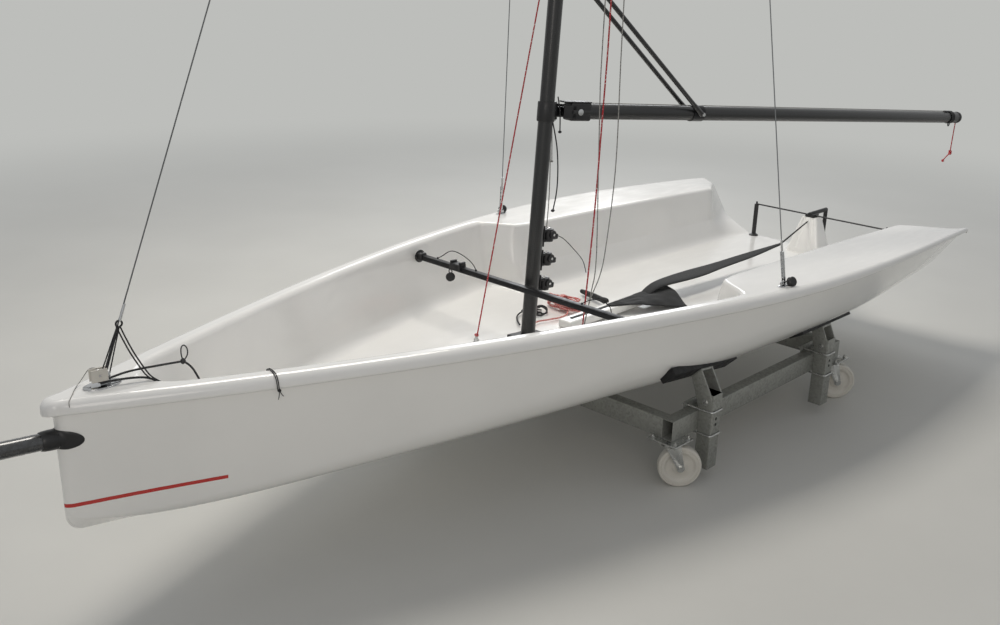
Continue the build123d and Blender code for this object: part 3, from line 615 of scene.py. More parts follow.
def skin(name: str, rows: Sequence[Sequence[Vector]], outward: bool = False) -> Piece:
    """Lays a grid primitive over rows of points, and merges the points that meet.

    Args:
        name: The piece's name.
        rows: Rows with the same number of points.
        outward: Whether the faces are turned to look outside.

    Returns:
        The sheet.
    """
    fresh()
    bpy.ops.mesh.primitive_grid_add(x_subdivisions=len(rows[0]) - 1, y_subdivisions=len(rows) - 1, size=1.0)
    piece = bpy.context.object
    piece.name = name
    flat = np.array([tuple(p) for row in rows for p in row], np.float32)
    piece.data.vertices.foreach_set("co", flat.ravel())
    piece.data.update()
    return mend(piece, 2e-5, outward)


def line(name: str, points: Iterable[Vector], radius: float, smooth_path: bool = True, sides: int = 3) -> Piece:
    """Adds a round line through points and makes it a mesh with its own UV map, in metres along it.

    Args:
        name: The piece's name.
        points: Points that the line follows.
        radius: The line's radius.
        smooth_path: A smooth curve, or else straight runs.
        sides: Blender's bevel resolution.

    Returns:
        The mesh piece.
    """
    places = [Vector(p) for p in points]
    data = bpy.data.curves.new(name, "CURVE")
    data.dimensions = "3D"
    data.bevel_depth = radius
    data.bevel_resolution = sides
    data.use_fill_caps = True
    data.resolution_u = 8
    spline = data.splines.new("NURBS" if smooth_path else "POLY")
    spline.points.add(len(places) - 1)
    for knot, place in zip(spline.points, places):
        knot.co = (*place, 1.0)
    if smooth_path:
        spline.order_u = 3
        spline.use_endpoint_u = True
    pick(linked(name, data))
    bpy.ops.object.convert(target="MESH")
    return bpy.context.object


def joined(name: str, pieces: Sequence[Piece]) -> Piece:
    """Joins pieces of one finish into one."""
    fresh()
    for piece in pieces:
        piece.select_set(True)
    bpy.context.view_layer.objects.active = pieces[0]
    if len(pieces) > 1:
        bpy.ops.object.join()
    piece = bpy.context.object
    piece.name = name
    return piece


def from_node(name: str, node: str, edge: float = 0.0, segments: int = 2) -> Piece:
    """Copies a CAD node's mesh, merges its loose triangles into faces and rounds its edges.

    Args:
        name: The new piece's name.
        node: The CAD node.
        edge: Width of the edges' rounding, in metres.
        segments: Faces across the rounding.

    Returns:
        The new piece, which still needs its finish.
    """
    piece = linked(name, bpy.data.objects[node].data.copy())
    piece.data.materials.clear()
    mend(piece, 1e-6, flat=math.radians(0.4))
    return soften(piece, edge, segments) if edge else piece


def dress(piece: Piece, finish: Finishes, body: str | Body = Body.BOAT, nodes: Sequence[str] = (),
          angle: float = 35.0, slot: str = "") -> Piece:
    """Gives a piece its finish, shading and body, and reports it.

    Args:
        piece: The finished mesh.
        finish: What it is made of.
        body: The body that it rides on.
        nodes: CAD nodes that it stands for.
        angle: Edges sharper than this stay sharp.
        slot: The record's material slot, where it isn't the finish's own; not used.

    Returns:
        The piece.
    """
    smooth(piece, angle)
    piece.data.materials.clear()
    piece.data.materials.append(finish.value.material())
    slot or finish.value.slot
    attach(piece, body.value if isinstance(body, Body) else body)
    if nodes:
        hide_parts(*nodes)
    LOG.info("%s: %d faces", piece.name, len(piece.data.polygons))
    return piece


def recast(name: str, node: str, edge: float, segments: int, finish: Finishes, **options: Any) -> Piece:
    """Dresses a copy of a CAD node with rounded edges; the options are dress's own."""
    return dress(from_node(name, node, edge, segments), finish, nodes=[node], **options)


# Hull and deck


def curve_through(xs: Sequence[float], ys: Sequence[float]) -> Callable[[float], float]:
    """Natural cubic spline through points, as a function."""
    n = len(xs)
    h = np.diff(xs)
    system, right = np.zeros((n, n)), np.zeros(n)
    system[0, 0] = system[-1, -1] = 1.0
    for i in range(1, n - 1):
        system[i, i - 1:i + 2] = h[i - 1], 2 * (h[i - 1] + h[i]), h[i]
        right[i] = 6 * ((ys[i + 1] - ys[i]) / h[i] - (ys[i] - ys[i - 1]) / h[i - 1])
    bend = np.linalg.solve(system, right)

    def value(x: float) -> float:
        """Height of the spline at x."""
        i = int(np.clip(np.searchsorted(xs, x) - 1, 0, n - 2))
        left, after = x - xs[i], xs[i + 1] - x
        cubic = (bend[i] * after ** 3 + bend[i + 1] * left ** 3) / (6 * h[i])
        low = (ys[i] / h[i] - bend[i] * h[i] / 6) * after
        return float(cubic + low + (ys[i + 1] / h[i] - bend[i + 1] * h[i] / 6) * left)

    return value


def ease(x: float, start: float, end: float) -> float:
    """Smooth step from 0 at start to 1 at end."""
    t = min(max((x - start) / (end - start), 0.0), 1.0)
    return t * t * (3 - 2 * t)


def mix(a: float, b: float, share: float) -> float:
    """Value between a and b."""
    return a + (b - a) * share


def rounded(corners: Sequence[Flat], radii: Sequence[float], steps: int,
            shares: dict[int, Flat] | None = None) -> list[Flat]:
    """Outline through corners with each inner corner rounded.

    Args:
        corners: Points of the outline, open at both ends.
        radii: One radius for each corner; the ends' are not used.
        steps: Faces across each rounding.
        shares: Greatest part of the run before and after a corner that its rounding takes, where not 0.47.

    Returns:
        Always the same number of points for the same number of corners.
    """
    pts = [np.array(c, float) for c in corners]
    arcs: list[list[np.ndarray]] = [[pts[0]]]
    for i in range(1, len(pts) - 1):
        back, ahead = pts[i - 1] - pts[i], pts[i + 1] - pts[i]
        lb, la = np.linalg.norm(back) + 1e-9, np.linalg.norm(ahead) + 1e-9
        half = math.acos(float(np.clip(back @ ahead / (lb * la), -0.999999, 0.999999))) / 2
        before, after = (shares or {}).get(i, (0.47, 0.47))
        reach = min(radii[i] / math.tan(half), before * lb, after * la)
        start, end = pts[i] + back / lb * reach, pts[i] + ahead / la * reach
        arc = []
        for k in range(steps + 1):
            t = k / steps
            a, b, c = (1 - t) ** 2, 2 * t * (1 - t) * math.sin(half), t * t
            arc.append((a * start + b * pts[i] + c * end) / (a + b + c))
        arcs.append(arc)
    arcs.append([pts[-1]])
    out: list[Flat] = [tuple(arcs[0][0])]
    for before, after in zip(arcs, arcs[1:]):
        a, b = before[-1], after[0]
        out += [tuple(a + (b - a) * s) for s in (0.04, 0.5, 0.96)]
        out += [tuple(p) for p in after]
    return out


@dataclass
class HullForm:
    """The lines of the hull, by the same station table as the part."""

    nose: float = 0.036
    stem_round: float = 0.021
    forefoot: float = 0.045
    stations: tuple = (
        # share of the length, half beam, sheer z, keel z, bilge y, bilge z, bilge radius
        (0.000, .022, .428, .032, .012, .075, .008),
        (0.040, .095, .426, .008, .062, .040, .030),
        (0.157, .296, .422, .000, .240, .035, .080),
        (0.297, .505, .419, .000, .450, .070, .150),
        (0.462, .700, .413, .006, .655, .100, .230),
        (0.625, .822, .402, .018, .745, .118, .270),
        (0.790, .838, .386, .034, .735, .105, .280),
        (1.000, .773, .352, .048, .590, .076, .190),
    )
    lines: list = field(default_factory=list)

    def __post_init__(self) -> None:
        """Makes a smooth line of each column."""
        span = BOAT.length - BOAT.stem_aft
        places = [BOAT.stem_aft + row[0] * span for row in self.stations]
        self.lines = [curve_through(places, [row[c] for row in self.stations]) for c in range(1, 7)]

    def row(self, aft: float) -> list[float]:
        """Half beam, sheer, keel, bilge y, bilge z and bilge radius at one place."""
        place = min(max(aft, BOAT.stem_aft), BOAT.length)
        return [value(place) for value in self.lines]

    def beam(self, aft: float) -> float:
        """Half beam of the hull's side."""
        return self.row(aft)[0]

    def sheer(self, aft: float) -> float:
        """Height of the hull's edge."""
        return self.row(aft)[1]

    def half(self, aft: float) -> list[Flat]:
        """Half section from the keel to the sheer, with a rounded stem and forefoot."""
        beam, top, low, bilge_y, bilge_z, radius = self.row(aft)
        points = rounded(((0.0, low), (bilge_y, bilge_z), (beam, top)), (0.0, radius, 0.0), 14)
        into = aft - BOAT.stem_aft
        if into < self.stem_round:
            t = 1 - into / self.stem_round
            narrow = math.sqrt(max(1 - t * t, 0.0))
            points = [(y * narrow, z) for y, z in points]
        if into < self.forefoot:
            t = 1 - into / self.forefoot
            rise = self.forefoot * (1 - math.sqrt(max(1 - t * t, 0.0)))
            points = [(y, top - (top - z) * (top - low - rise) / (top - low)) for y, z in points]
        return points

    def side(self, aft: float, z: float) -> float:
        """Half width of the hull's outside at a height above the bilge."""
        zs, ys = zip(*sorted((pz, py) for py, pz in self.half(aft)))
        return float(np.interp(z, zs, ys))


def mirrored(aft: float, half: Sequence[Flat], from_centre: bool) -> list[Vector]:
    """Full row across the boat from one side's points, starboard to port."""
    side = list(half) if from_centre else list(reversed(half))
    port = [BOAT.at(aft, y, z) for y, z in side]
    starboard = [BOAT.at(aft, -y, z) for y, z in reversed(side)]
    return starboard[:-1] + port


@dataclass
class Hull:
    """The hull shell with the red line at its bow."""

    form: HullForm
    skin: float = 0.006

    def places(self) -> list[float]:
        """Stations from the stem to the transom, close together where the form turns."""
        near = [BOAT.stem_aft + self.form.forefoot * (1 - math.cos(math.pi / 2 * k / 14)) for k in range(15)]
        return near + list(np.linspace(BOAT.stem_aft + self.form.forefoot, BOAT.length, 64))[1:]

    def build(self) -> None:
        """Models and dresses the shell."""
        rows = [mirrored(aft, self.form.half(aft), True) for aft in self.places()]
        shell = skin("hull_shell_skin", rows)
        facing(shell, min(shell.data.polygons, key=lambda face: face.center.z), (0, 0, -1))
        add_modifier(shell, "SOLIDIFY", thickness=self.skin, offset=-1.0)
        dress(shell, Finishes.HULL, nodes=["hull_shell"], angle=50)


@dataclass
class Deck:
    """The deck moulding: rolled gunwale, side decks, cockpit walls and floor in one skin.

    floor_z holds the floor's height at the front, at the mast and at the transom. A run is where a
    change along the boat begins and ends, and a knee is the break in the wall below a side deck.
    """

    form: HullForm
    rail_out: float = 0.014
    thick: float = 0.005
    in_shell: float = 0.0065
    foot_gap: float = 0.002
    crown: float = 0.008
    nose_drop: float = 0.030
    drop_bow: float = 0.034
    drop_stern: float = 0.016
    drop_run: Flat = (2.2, 4.2)
    roll_run: Flat = (1.6, 4.2)
    floor_front: float = 0.265
    floor_z: Point = (0.150, 0.130, 0.086)
    well_front: float = 0.262
    well_full: float = 0.350
    slope_end: float = 0.470
    seat_start: float = 2.315
    seat_full: float = 2.440
    seat_end: float = 4.020
    seat_y: float = 0.540
    seat_foot: float = 0.478
    seat_knee: Flat = (0.515, 0.105)
    stern_inner: Flat = (0.062, 0.024)
    stern_knee: Flat = (0.600, 0.168)
    stern_foot: float = 0.430
    wall: float = 0.045
    inset: float = 0.115
    cove: float = 0.055

    def floor(self, aft: float) -> float:
        """Height of the cockpit floor."""
        front, middle, stern = self.floor_z
        if aft < BOAT.mast_aft:
            return mix(front, middle, (aft - self.floor_front) / (BOAT.mast_aft - self.floor_front))
        return mix(middle, stern, (aft - BOAT.mast_aft) / (BOAT.length - BOAT.mast_aft))

    def opening(self, aft: float) -> float:
        """Width of the cockpit's opening as a share of its full width, round at the front."""
        if aft < self.well_front:
            return 0.0
        return math.sqrt(max(1 - (max(self.well_full - aft, 0) / (self.well_full - self.well_front)) ** 2, 0.0))

    def fall(self, aft: float) -> float:
        """Share of the way from the side decks' end to the transom."""
        return min(max((aft - self.seat_end) / (BOAT.length - self.seat_end), 0.0), 1.0)

    def corners(self, aft: float) -> list[Flat]:
        """Corners of the half section: three round the gunwale, the wall's top, knee and foot, the centre line."""
        beam, top, floor, nose = self.form.beam(aft), self.form.sheer(aft), self.floor(aft), self.form.nose
        edge = beam + self.rail_out
        if aft < nose:
            edge = math.sqrt(max(nose ** 2 - (nose - aft) ** 2, 0.0))
        foot = min(beam + self.foot_gap if aft >= BOAT.stem_aft else 0.0, edge)
        crown = top + self.crown - self.nose_drop * (1 - math.sqrt(1 - max(1 - aft / nose, 0.0) ** 2))
        drop = mix(self.drop_bow, self.drop_stern, ease(aft, *self.drop_run))
        seat, fall = ease(aft, self.seat_start, self.seat_full), self.fall(aft)
        swell = ease(aft, self.seat_start - 0.05, self.seat_full + 0.06)
        inner = mix(beam - self.wall - 0.012, self.seat_y, mix(seat, swell, 0.35))
        low = mix(max(beam - self.inset, 0.024), self.seat_foot, seat)
        knee_y = mix(mix(inner, low, 0.5), self.seat_knee[0], seat)
        knee_z = mix(mix(crown, floor, 0.5), floor + self.seat_knee[1], seat)
        wall = [(mix(inner, beam - self.stern_inner[0], fall), crown - self.stern_inner[1] * fall ** 1.5),
                (mix(knee_y, self.stern_knee[0], fall), mix(knee_z, self.stern_knee[1], fall)),
                (mix(low, self.stern_foot, fall), floor), (0.0, floor)]
        width, depth = self.opening(aft), ease(aft, self.well_front, self.slope_end)
        rail = [(foot, top - drop), (edge, top - drop), (edge, crown)]
        return rail + [(y * width, mix(crown, z, depth)) for y, z in wall]

    def half(self, aft: float) -> list[Flat]:
        """Half section from the gunwale's lower edge to the centre line, with its corners rounded."""
        seat, late = ease(aft, self.seat_start, self.seat_full), ease(aft, *self.roll_run)
        knuckle = mix(mix(0.10, 0.028, seat), 0.16, self.fall(aft))
        radii = (0.0, 0.009, mix(0.038, 0.014, late), mix(0.024, 0.016, seat), knuckle, self.cove, 0.0)
        shares = {1: (0.80, 0.21), 2: (mix(0.76, 0.47, late), mix(0.60, 0.47, late))}
        return rounded(self.corners(aft), radii, 6, shares)

    def places(self) -> list[float]:
        """Stations from the bow tip to the transom, close together where the form turns."""
        rise = [1 - math.cos(math.pi / 2 * k / 12) for k in range(13)]
        places = [self.form.nose * share for share in rise]
        places += list(np.linspace(self.form.nose, self.well_front, 8))[1:]
        places += [mix(self.well_front, self.well_full, share) for share in rise[1:]]
        for start, end, count in ((self.well_full, self.slope_end, 8), (self.slope_end, self.seat_start, 34),
                                  (self.seat_start, self.seat_full, 14), (self.seat_full, self.seat_end, 26),
                                  (self.seat_end, BOAT.length, 16)):
            places += list(np.linspace(start, end, count))[1:]
        return places

    def transom(self) -> list[Flat]:
        """Half outline of the transom's lower edge, straight below the points of the last deck section."""
        ys, zs = zip(*sorted((y, z + self.in_shell) for y, z in self.form.half(BOAT.length)))
        widest = self.form.beam(BOAT.length) - self.in_shell
        return [(min(y, widest), float(np.interp(min(y, widest), ys, zs))) for y, _ in self.half(BOAT.length)]

    def build(self) -> None:
        """Models and dresses the moulding."""
        rows = [mirrored(aft, self.half(aft), False) for aft in self.places()[:-1]]
        last = self.half(BOAT.length)
        for back, sink in ((0.006, 0.0), (0.0025, 0.0012), (0.0004, 0.0035), (0.0, 0.006)):
            rows.append(mirrored(BOAT.length - back, [(y, z - sink) for y, z in last], False))
        low = self.transom()
        rows.append(mirrored(BOAT.length, [(min(y, b), mix(z, c, 0.5)) for (y, z), (b, c) in zip(last, low)], False))
        rows.append(mirrored(BOAT.length, low, False))
        deck = skin("deck_moulding_skin", rows)
        facing(deck, max((f for f in deck.data.polygons if abs(f.center.y) < 0.3), key=lambda f: f.area), (0, 0, 1))
        add_modifier(deck, "SOLIDIFY", thickness=self.thick, offset=-1.0)
        dress(deck, Finishes.DECK, nodes=["deck_moulding", "gunwale_rail"], angle=42)


# Bow


@dataclass
class Bow:
    """Bowsprit, its sleeve on the stem, the stem fitting and the lashing of the forestay."""

    form: HullForm
    sprit_z: float = 0.318
    cheek_length: float = 0.060
    rise: float = math.radians(5.0)
    sprit_r: float = 0.024
    sprit_out: float = 0.900
    sprit_in: float = 0.500
    cord_aft: float = 0.575

    def sprit(self, ahead: float) -> Vector:
        """Point on the bowsprit's centre line, ahead of the stem."""
        return BOAT.at(BOAT.stem_aft - ahead, 0.0, self.sprit_z + math.tan(self.rise) * ahead)

    def bowsprit(self) -> None:
        """Models the open-weave tube and dresses its drilled end plug."""
        tube = bar("bowsprit_tube_wound", self.sprit(-self.sprit_in), self.sprit(self.sprit_out), self.sprit_r, 48)
        dress(soften(tube, 0.0008, 2), Finishes.CARBON_OPEN, nodes=["bowsprit_tube"])
        recast("bowsprit_end_plug", "bowsprit_cap", 0.002, 3, Finishes.NYLON_BLACK)

    def sleeve(self) -> None:
        """Models the bullet-shaped collar: a short ring ahead of the stem and a cheek on each side of it."""
        axis = self.sprit(1.0) - self.sprit(0.0)
        inner, outer = self.sprit_r + 0.0002, self.sprit_r + 0.0048
        profile = [(inner, 0.0015), (outer, 0.0015), (outer, 0.022), (outer - 0.0008, 0.034),
                   (outer - 0.0022, 0.041), (inner + 0.0006, 0.0448), (inner, 0.0448)]
        pieces = [soften(turned("bowsprit_sleeve_collar", profile + [profile[0]], self.sprit(0.0), axis), 0.0006)]
        for side in SIDES:
            rows = []
            for share in np.linspace(0.0, 1.0, 15):
                back = self.cheek_length * math.sin(share * math.pi / 2) - 0.0015 * (1 - share)
                tall = outer * math.cos(share * math.pi / 2)
                row = []
                for k in range(17):
                    up = tall * math.cos(math.pi * k / 16)
                    z = self.sprit(-back).z - BOAT.lift + up
                    edge = math.hypot(back / self.cheek_length, up / outer)
                    thick = 0.0003 + 0.0047 * max(1 - edge ** 6, 0.0) ** 0.5
                    bulge = outer * math.sqrt(max(1 - edge ** 2, 0.0))
                    aft = BOAT.stem_aft + back
                    row.append(BOAT.at(aft, side * max(self.form.side(aft, z) + thick, bulge), z))
                rows.append(row)
            cheek = skin("bowsprit_cheek", rows)
            pieces.append(facing(cheek, cheek.data.polygons[len(cheek.data.polygons) // 2], (0, side, 0)))
        dress(joined("bowsprit_sleeve_moulding", pieces), Finishes.NYLON_BLACK, nodes=["bowsprit_sleeve"], angle=50)

    def fitting(self) -> None:
        """Models the oval base with its tang and shackle, and the pale turning block on it."""
        top = BOAT.at(BOAT.stay_aft, 0, BOAT.deck_z)
        fresh()
        bpy.ops.mesh.primitive_cylinder_add(vertices=48, radius=1.0, depth=0.006, location=top + Vector((0.010, 0, 0)),
                                            scale=(0.055, 0.030, 1.0))
        base = soften(step_top(placed("stem_fitting_base"), 0.006, 0.002), 0.001, 2, 30)
        tang = soften(cube("stem_fitting_tang", (0.030, 0.005, 0.034), top + Vector((0, 0, 0.018))), 0.0015, 2)
        eye = ring("stem_fitting_shackle", top + Vector((0, 0, 0.030)), Vector((0, 1, 0)), 0.010, 0.0025)
        bolts = [bar("stem_fitting_bolt", top + Vector((dx, 0, 0.002)), top + Vector((dx, 0, 0.0075)), 0.0045, 6)
                 for dx in (-0.028, 0.048)]
        dress(joined("stem_fitting_plate", [base, tang, eye, *bolts]), Finishes.STAINLESS,
              nodes=["stem_fitting"], angle=30)
        block_at = top + Vector((0.020, 0.004, 0.036))
        across = Vector((0.12, 1, 0.06)).normalized()
        sheave = turned("bow_block_sheave", [(0.003, -0.006), (0.014, -0.006), (0.010, 0.0), (0.014, 0.006),
                                              (0.003, 0.006), (0.003, -0.006)], block_at, across, 40)
        pin = bar("bow_block_pin", block_at - across * 0.0135, block_at + across * 0.0135, 0.0032, 20)
        dress(joined("bow_block_sheave", [sheave, pin]), Finishes.STAINLESS, angle=40)
        turn = Vector((0, 1, 0)).rotation_difference(across)
        cheeks = [soften(cube("bow_block_cheek", (0.046, 0.0045, 0.036), block_at + across * off, turn), 0.002, 3)
                  for off in (-0.0098, 0.0098)]
        cheeks.append(soften(cube("bow_block_web", (0.006, 0.016, 0.030), block_at + Vector((-0.019, 0, 0)), turn),
                             0.001, 2))
        dress(joined("bow_block_cheeks", cheeks), Finishes.NYLON_WHITE, angle=40)

    def stay_lashing(self) -> None:
        """Lays the forestay's lashing, the tack strop, the furling lines and the loose whipping line."""
        up = (BOAT.mast(*BOAT.hounds) - BOAT.at(BOAT.stay_aft, 0, BOAT.deck_z + 0.04)).normalized()
        foot = BOAT.at(BOAT.stay_aft, 0, BOAT.deck_z + 0.034)
        thimble = foot + up * 0.135
        lines = []
        for k, (dx, dy) in enumerate(((0.010, 0.012), (-0.010, -0.012), (0.016, 0.004), (-0.016, -0.004))):
            low = foot + Vector((dx, dy, -0.004))
            lines.append(line(f"forestay_lashing_{k}", [low, thimble + Vector((dx, dy, 0)) * 0.25], 0.0019, False))
        lines.append(ring("forestay_thimble", thimble + up * 0.008, Vector((0, 1, 0)), 0.009, 0.0028))
        dress(joined("forestay_lashing", lines), Finishes.ROPE_BLACK)
        leg = [thimble, *BOAT.path(((0.252, 0.010, 0.530), (0.276, 0.038, 0.466), (0.286, 0.052, 0.444),
                                    (0.304, 0.074, 0.430), (0.330, 0.090, 0.400)))]
        pair = [line("tack_strop", [point + Vector((0.004 * k, -0.003 * k, 0)) for point in leg], 0.0022)
                for k in (-1, 1)]
        lower = BOAT.path(((0.162, 0.012, 0.4475), (0.205, 0.022, 0.4490), (0.256, 0.038, 0.4470),
                           (0.290, 0.050, 0.4400), (0.330, 0.060, 0.4120)))
        upper = BOAT.path(((0.160, 0.006, 0.4485), (0.215, -0.002, 0.4520), (0.270, -0.008, 0.4510),
                           (0.340, 0.000, 0.4480), (0.416, 0.006, 0.4430)))
        fall = [upper[-1], *BOAT.path(((0.440, 0.004, 0.425), (0.462, 0.003, 0.380), (0.480, 0.010, 0.330),
                                       (0.488, 0.026, 0.290)))]
        loop = [upper[-1], *BOAT.path(((0.414, 0.000, 0.462), (0.420, -0.008, 0.482), (0.432, -0.012, 0.486),
                                       (0.442, -0.010, 0.472), (0.436, -0.002, 0.450))), upper[-1]]
        pair += [line("furling_line_low", lower, 0.0032), line("furling_line_high", upper, 0.0032),
                 line("furling_line_fall", fall, 0.0032), line("furling_line_loop", loop, 0.0019),
                 ball("furling_line_knot", upper[-1], 0.0082),
                 ring("furling_line_turn", upper[-1], Vector((1, 0, 0.3)), 0.0062, 0.0030),
                 ring("furling_line_hitch", self.sprit(-0.458), self.sprit(1.0) - self.sprit(0.0),
                      self.sprit_r + 0.0034, 0.0032)]
        dress(joined("furling_lines", pair), Finishes.ROPE_BLACK)
        loose = BOAT.path(((0.163, -0.004, 0.486), (0.156, -0.030, 0.486), (0.139, -0.050, 0.4460),
                           (0.104, -0.020, 0.4380), (0.078, 0.020, 0.4375), (0.056, 0.044, 0.4315),
                           (0.052, 0.060, 0.4240)))
        dress(line("whipping_line_loose", loose, 0.0012), Finishes.ROPE_GREY)

    def gunwale_cord(self) -> None:
        """Lays the thin cord that comes out of the forepeak over the port gunwale and ends in a knot."""
        aft = self.cord_aft
        beam, top = self.form.beam(aft), self.form.sheer(aft)
        points = BOAT.path((
            (aft + 0.020, beam - 0.090, top - 0.060), (aft + 0.012, beam - 0.066, top + 0.004),
            (aft + 0.010, beam - 0.045, top + 0.0100), (aft + 0.004, beam - 0.018, top + 0.0100),
            (aft, beam - 0.001, top + 0.0055), (aft - 0.004, beam + 0.0115, top - 0.0070),
            (aft - 0.005, beam + 0.0160, top - 0.024), (aft - 0.004, beam + 0.0160, top - 0.036)))
        cord = [line("gunwale_cord", points, 0.0015),
                line("gunwale_cord", [point + Vector((0.006, 0.001, 0.0005)) for point in points], 0.0015),
                ball("gunwale_cord_knot", points[-1], 0.0052)]
        for dx, dz in ((-0.012, -0.020), (0.006, -0.026)):
            cord.append(line("gunwale_cord_end", [points[-1], points[-1] + Vector((dx * 0.4, 0.002, dz * 0.6)),
                                                  points[-1] + Vector((dx, 0.001, dz))], 0.0013))
        dress(joined("gunwale_cord", cord), Finishes.ROPE_BLACK)

    def build(self) -> None:
        """Builds all of the bow."""
        self.bowsprit()
        self.sleeve()
        self.fitting()
        self.stay_lashing()
        self.gunwale_cord()


# Mast and rigging


@dataclass
class Mast:
    """Wound carbon mast with its step, head, brackets, spreaders and cleats."""

    length: float = 6.150
    half_deep: float = 0.031
    half_wide: float = 0.026
    groove: float = 0.006
    cleats: tuple = (0.200, 0.302, 0.398)

    def tube(self) -> None:
        """Extrudes the oval section with its sail track groove along the mast."""
        frame = BOAT.mast_frame()
        count = 72
        rows = []
        for h in (0.0, 0.004, 0.02, self.length * 0.5, self.length - 0.02, self.length):
            row = []
            for k in range(count + 1):
                turn = 2 * math.pi * k / count
                x, y = self.half_deep * math.cos(turn), self.half_wide * math.sin(turn)
                if abs(math.remainder(turn - math.pi, 2 * math.pi)) < 0.10:
                    x += self.groove
                row.append(frame @ Vector((x, y, h)))
            rows.append(row)
        tube = skin("mast_tube_wound", rows, True)
        add_modifier(tube, "SOLIDIFY", thickness=0.0025, offset=-1.0)
        dress(tube, Finishes.CARBON, nodes=["mast_tube"], angle=40)

    def step_and_head(self) -> None:
        """Dresses the step, the masthead and the spreaders, with a boot on each spreader's tip."""
        recast("mast_step_moulding", "mast_step", 0.004, 3, Finishes.NYLON_BLACK)
        recast("masthead_crane", "masthead", 0.002, 2, Finishes.NYLON_BLACK)
        recast("spreader_pair", "spreaders", 0.0, 2, Finishes.CARBON)
        for side in SIDES:
            tip = BOAT.tip(side)
            out = (tip - BOAT.mast(0, side * 0.0294, BOAT.spreader_tip[2])).normalized()
            boot = bar(f"spreader_boot_{side_name(side)}", tip - out * 0.045, tip + out * 0.004, 0.0115, 24)
            dress(soften(boot, 0.003, 3), Finishes.NYLON_BLACK)

    def brackets(self) -> None:
        """Dresses the gooseneck and the strut's bracket, each with a band round the mast and bolt heads."""
        frame = BOAT.mast_frame()
        for node, height, tall in (("gooseneck_bracket", BOAT.gooseneck_h, 0.074),
                                   ("strut_bracket", BOAT.strut_h, 0.060)):
            recast(f"{node}_plates", node, 0.0012, 2, Finishes.ALLOY_BLACK, angle=30)
            edge = tall / 2
            rows = []
            for h, grow in ((-edge, 0.0002), (-edge, 0.0045), (-edge + 0.004, 0.0062), (edge - 0.004, 0.0062),
                            (edge, 0.0045), (edge, 0.0002)):
                turns = [math.radians(24 + (336 - 24) * k / 48) - math.pi for k in range(49)]
                rows.append([frame @ Vector(((self.half_deep + grow) * math.cos(turn),
                                             (self.half_wide + grow) * math.sin(turn), height + h))
                             for turn in turns])
            band = skin(f"{node}_band", rows, True)
            add_modifier(band, "SOLIDIFY", thickness=0.0015, offset=-1.0)
            dress(band, Finishes.NYLON_BLACK, angle=40)
            pin = BOAT.mast(-BOAT.pin_offset, 0, height)
            up = BOAT.mast(0, 0, 1) - BOAT.mast(0, 0, 0)
            heads = [bar(f"{node}_nut_{k}", pin + up * z, pin + up * (z + 0.005), 0.0085, 6)
                     for k, z in enumerate((-0.036, 0.031))]
            dress(joined(f"{node}_nuts", heads), Finishes.STAINLESS, angle=30)

    def cleat_blocks(self) -> None:
        """Models the three cam cleats with their swivel arms, sheaves and jaws."""
        pieces, bushes = [], []
        turn = BOAT.mast_frame().to_quaternion()
        for number, height in enumerate(self.cleats):
            seat = BOAT.mast(-self.half_deep - 0.0006, 0, height)

            def at(back: float, side: float, rise: float, origin: Vector = seat) -> Vector:
                """Point behind the seat, to port of it and above it."""
                return origin + turn @ Vector((-back, side, rise))

            parts = [
                cube("cleat_plate", (0.006, 0.030, 0.084), at(0.003, 0, 0), turn),
                cube("cleat_arm", (0.034, 0.026, 0.010), at(0.022, 0, -0.020), turn),
                cube("cleat_arm", (0.034, 0.026, 0.010), at(0.022, 0, 0.020), turn),
                bar("cleat_drum", at(0.040, 0, -0.025), at(0.040, 0, 0.025), 0.0215, 36),
                bar("cleat_cheek", at(0.044, -0.027, 0.004), at(0.044, 0.027, 0.004), 0.0175, 32),
                cube("cleat_base", (0.040, 0.044, 0.009), at(0.056, 0, -0.012), turn),
                cube("cleat_lip", (0.010, 0.040, 0.020), at(0.075, 0, -0.006), turn),
            ]
            for side in SIDES:
                y = side * 0.0125
                parts.append(bar("cleat_jaw", at(0.058, y, -0.008), at(0.058, y, 0.012), 0.0115, 20))
                bushes.append(bar("cleat_jaw_pin", at(0.058, y, 0.0118), at(0.058, y, 0.0150), 0.0036, 12))
                bushes.append(bar("cleat_cheek_pin", at(0.044, side * 0.0268, 0.004), at(0.044, side * 0.0292, 0.004),
                                  0.0052, 16))
                bushes.append(ball("cleat_plate_screw", at(0.0055, 0, side * 0.036), 0.0042))
            for piece in parts:
                piece.name = f"{piece.name}_{number}"
                soften(piece, 0.0030, 3)
            pieces += parts
            bushes.append(ring(f"cleat_bush_{number}", at(0.040, 0, 0.0262), turn @ Vector((0, 0, 1)), 0.009, 0.0022))
        dress(joined("mast_cam_cleats", pieces), Finishes.NYLON_BLACK, nodes=["mast_cleat_blocks"])
        dress(joined("mast_cleat_pins", bushes), Finishes.STAINLESS)

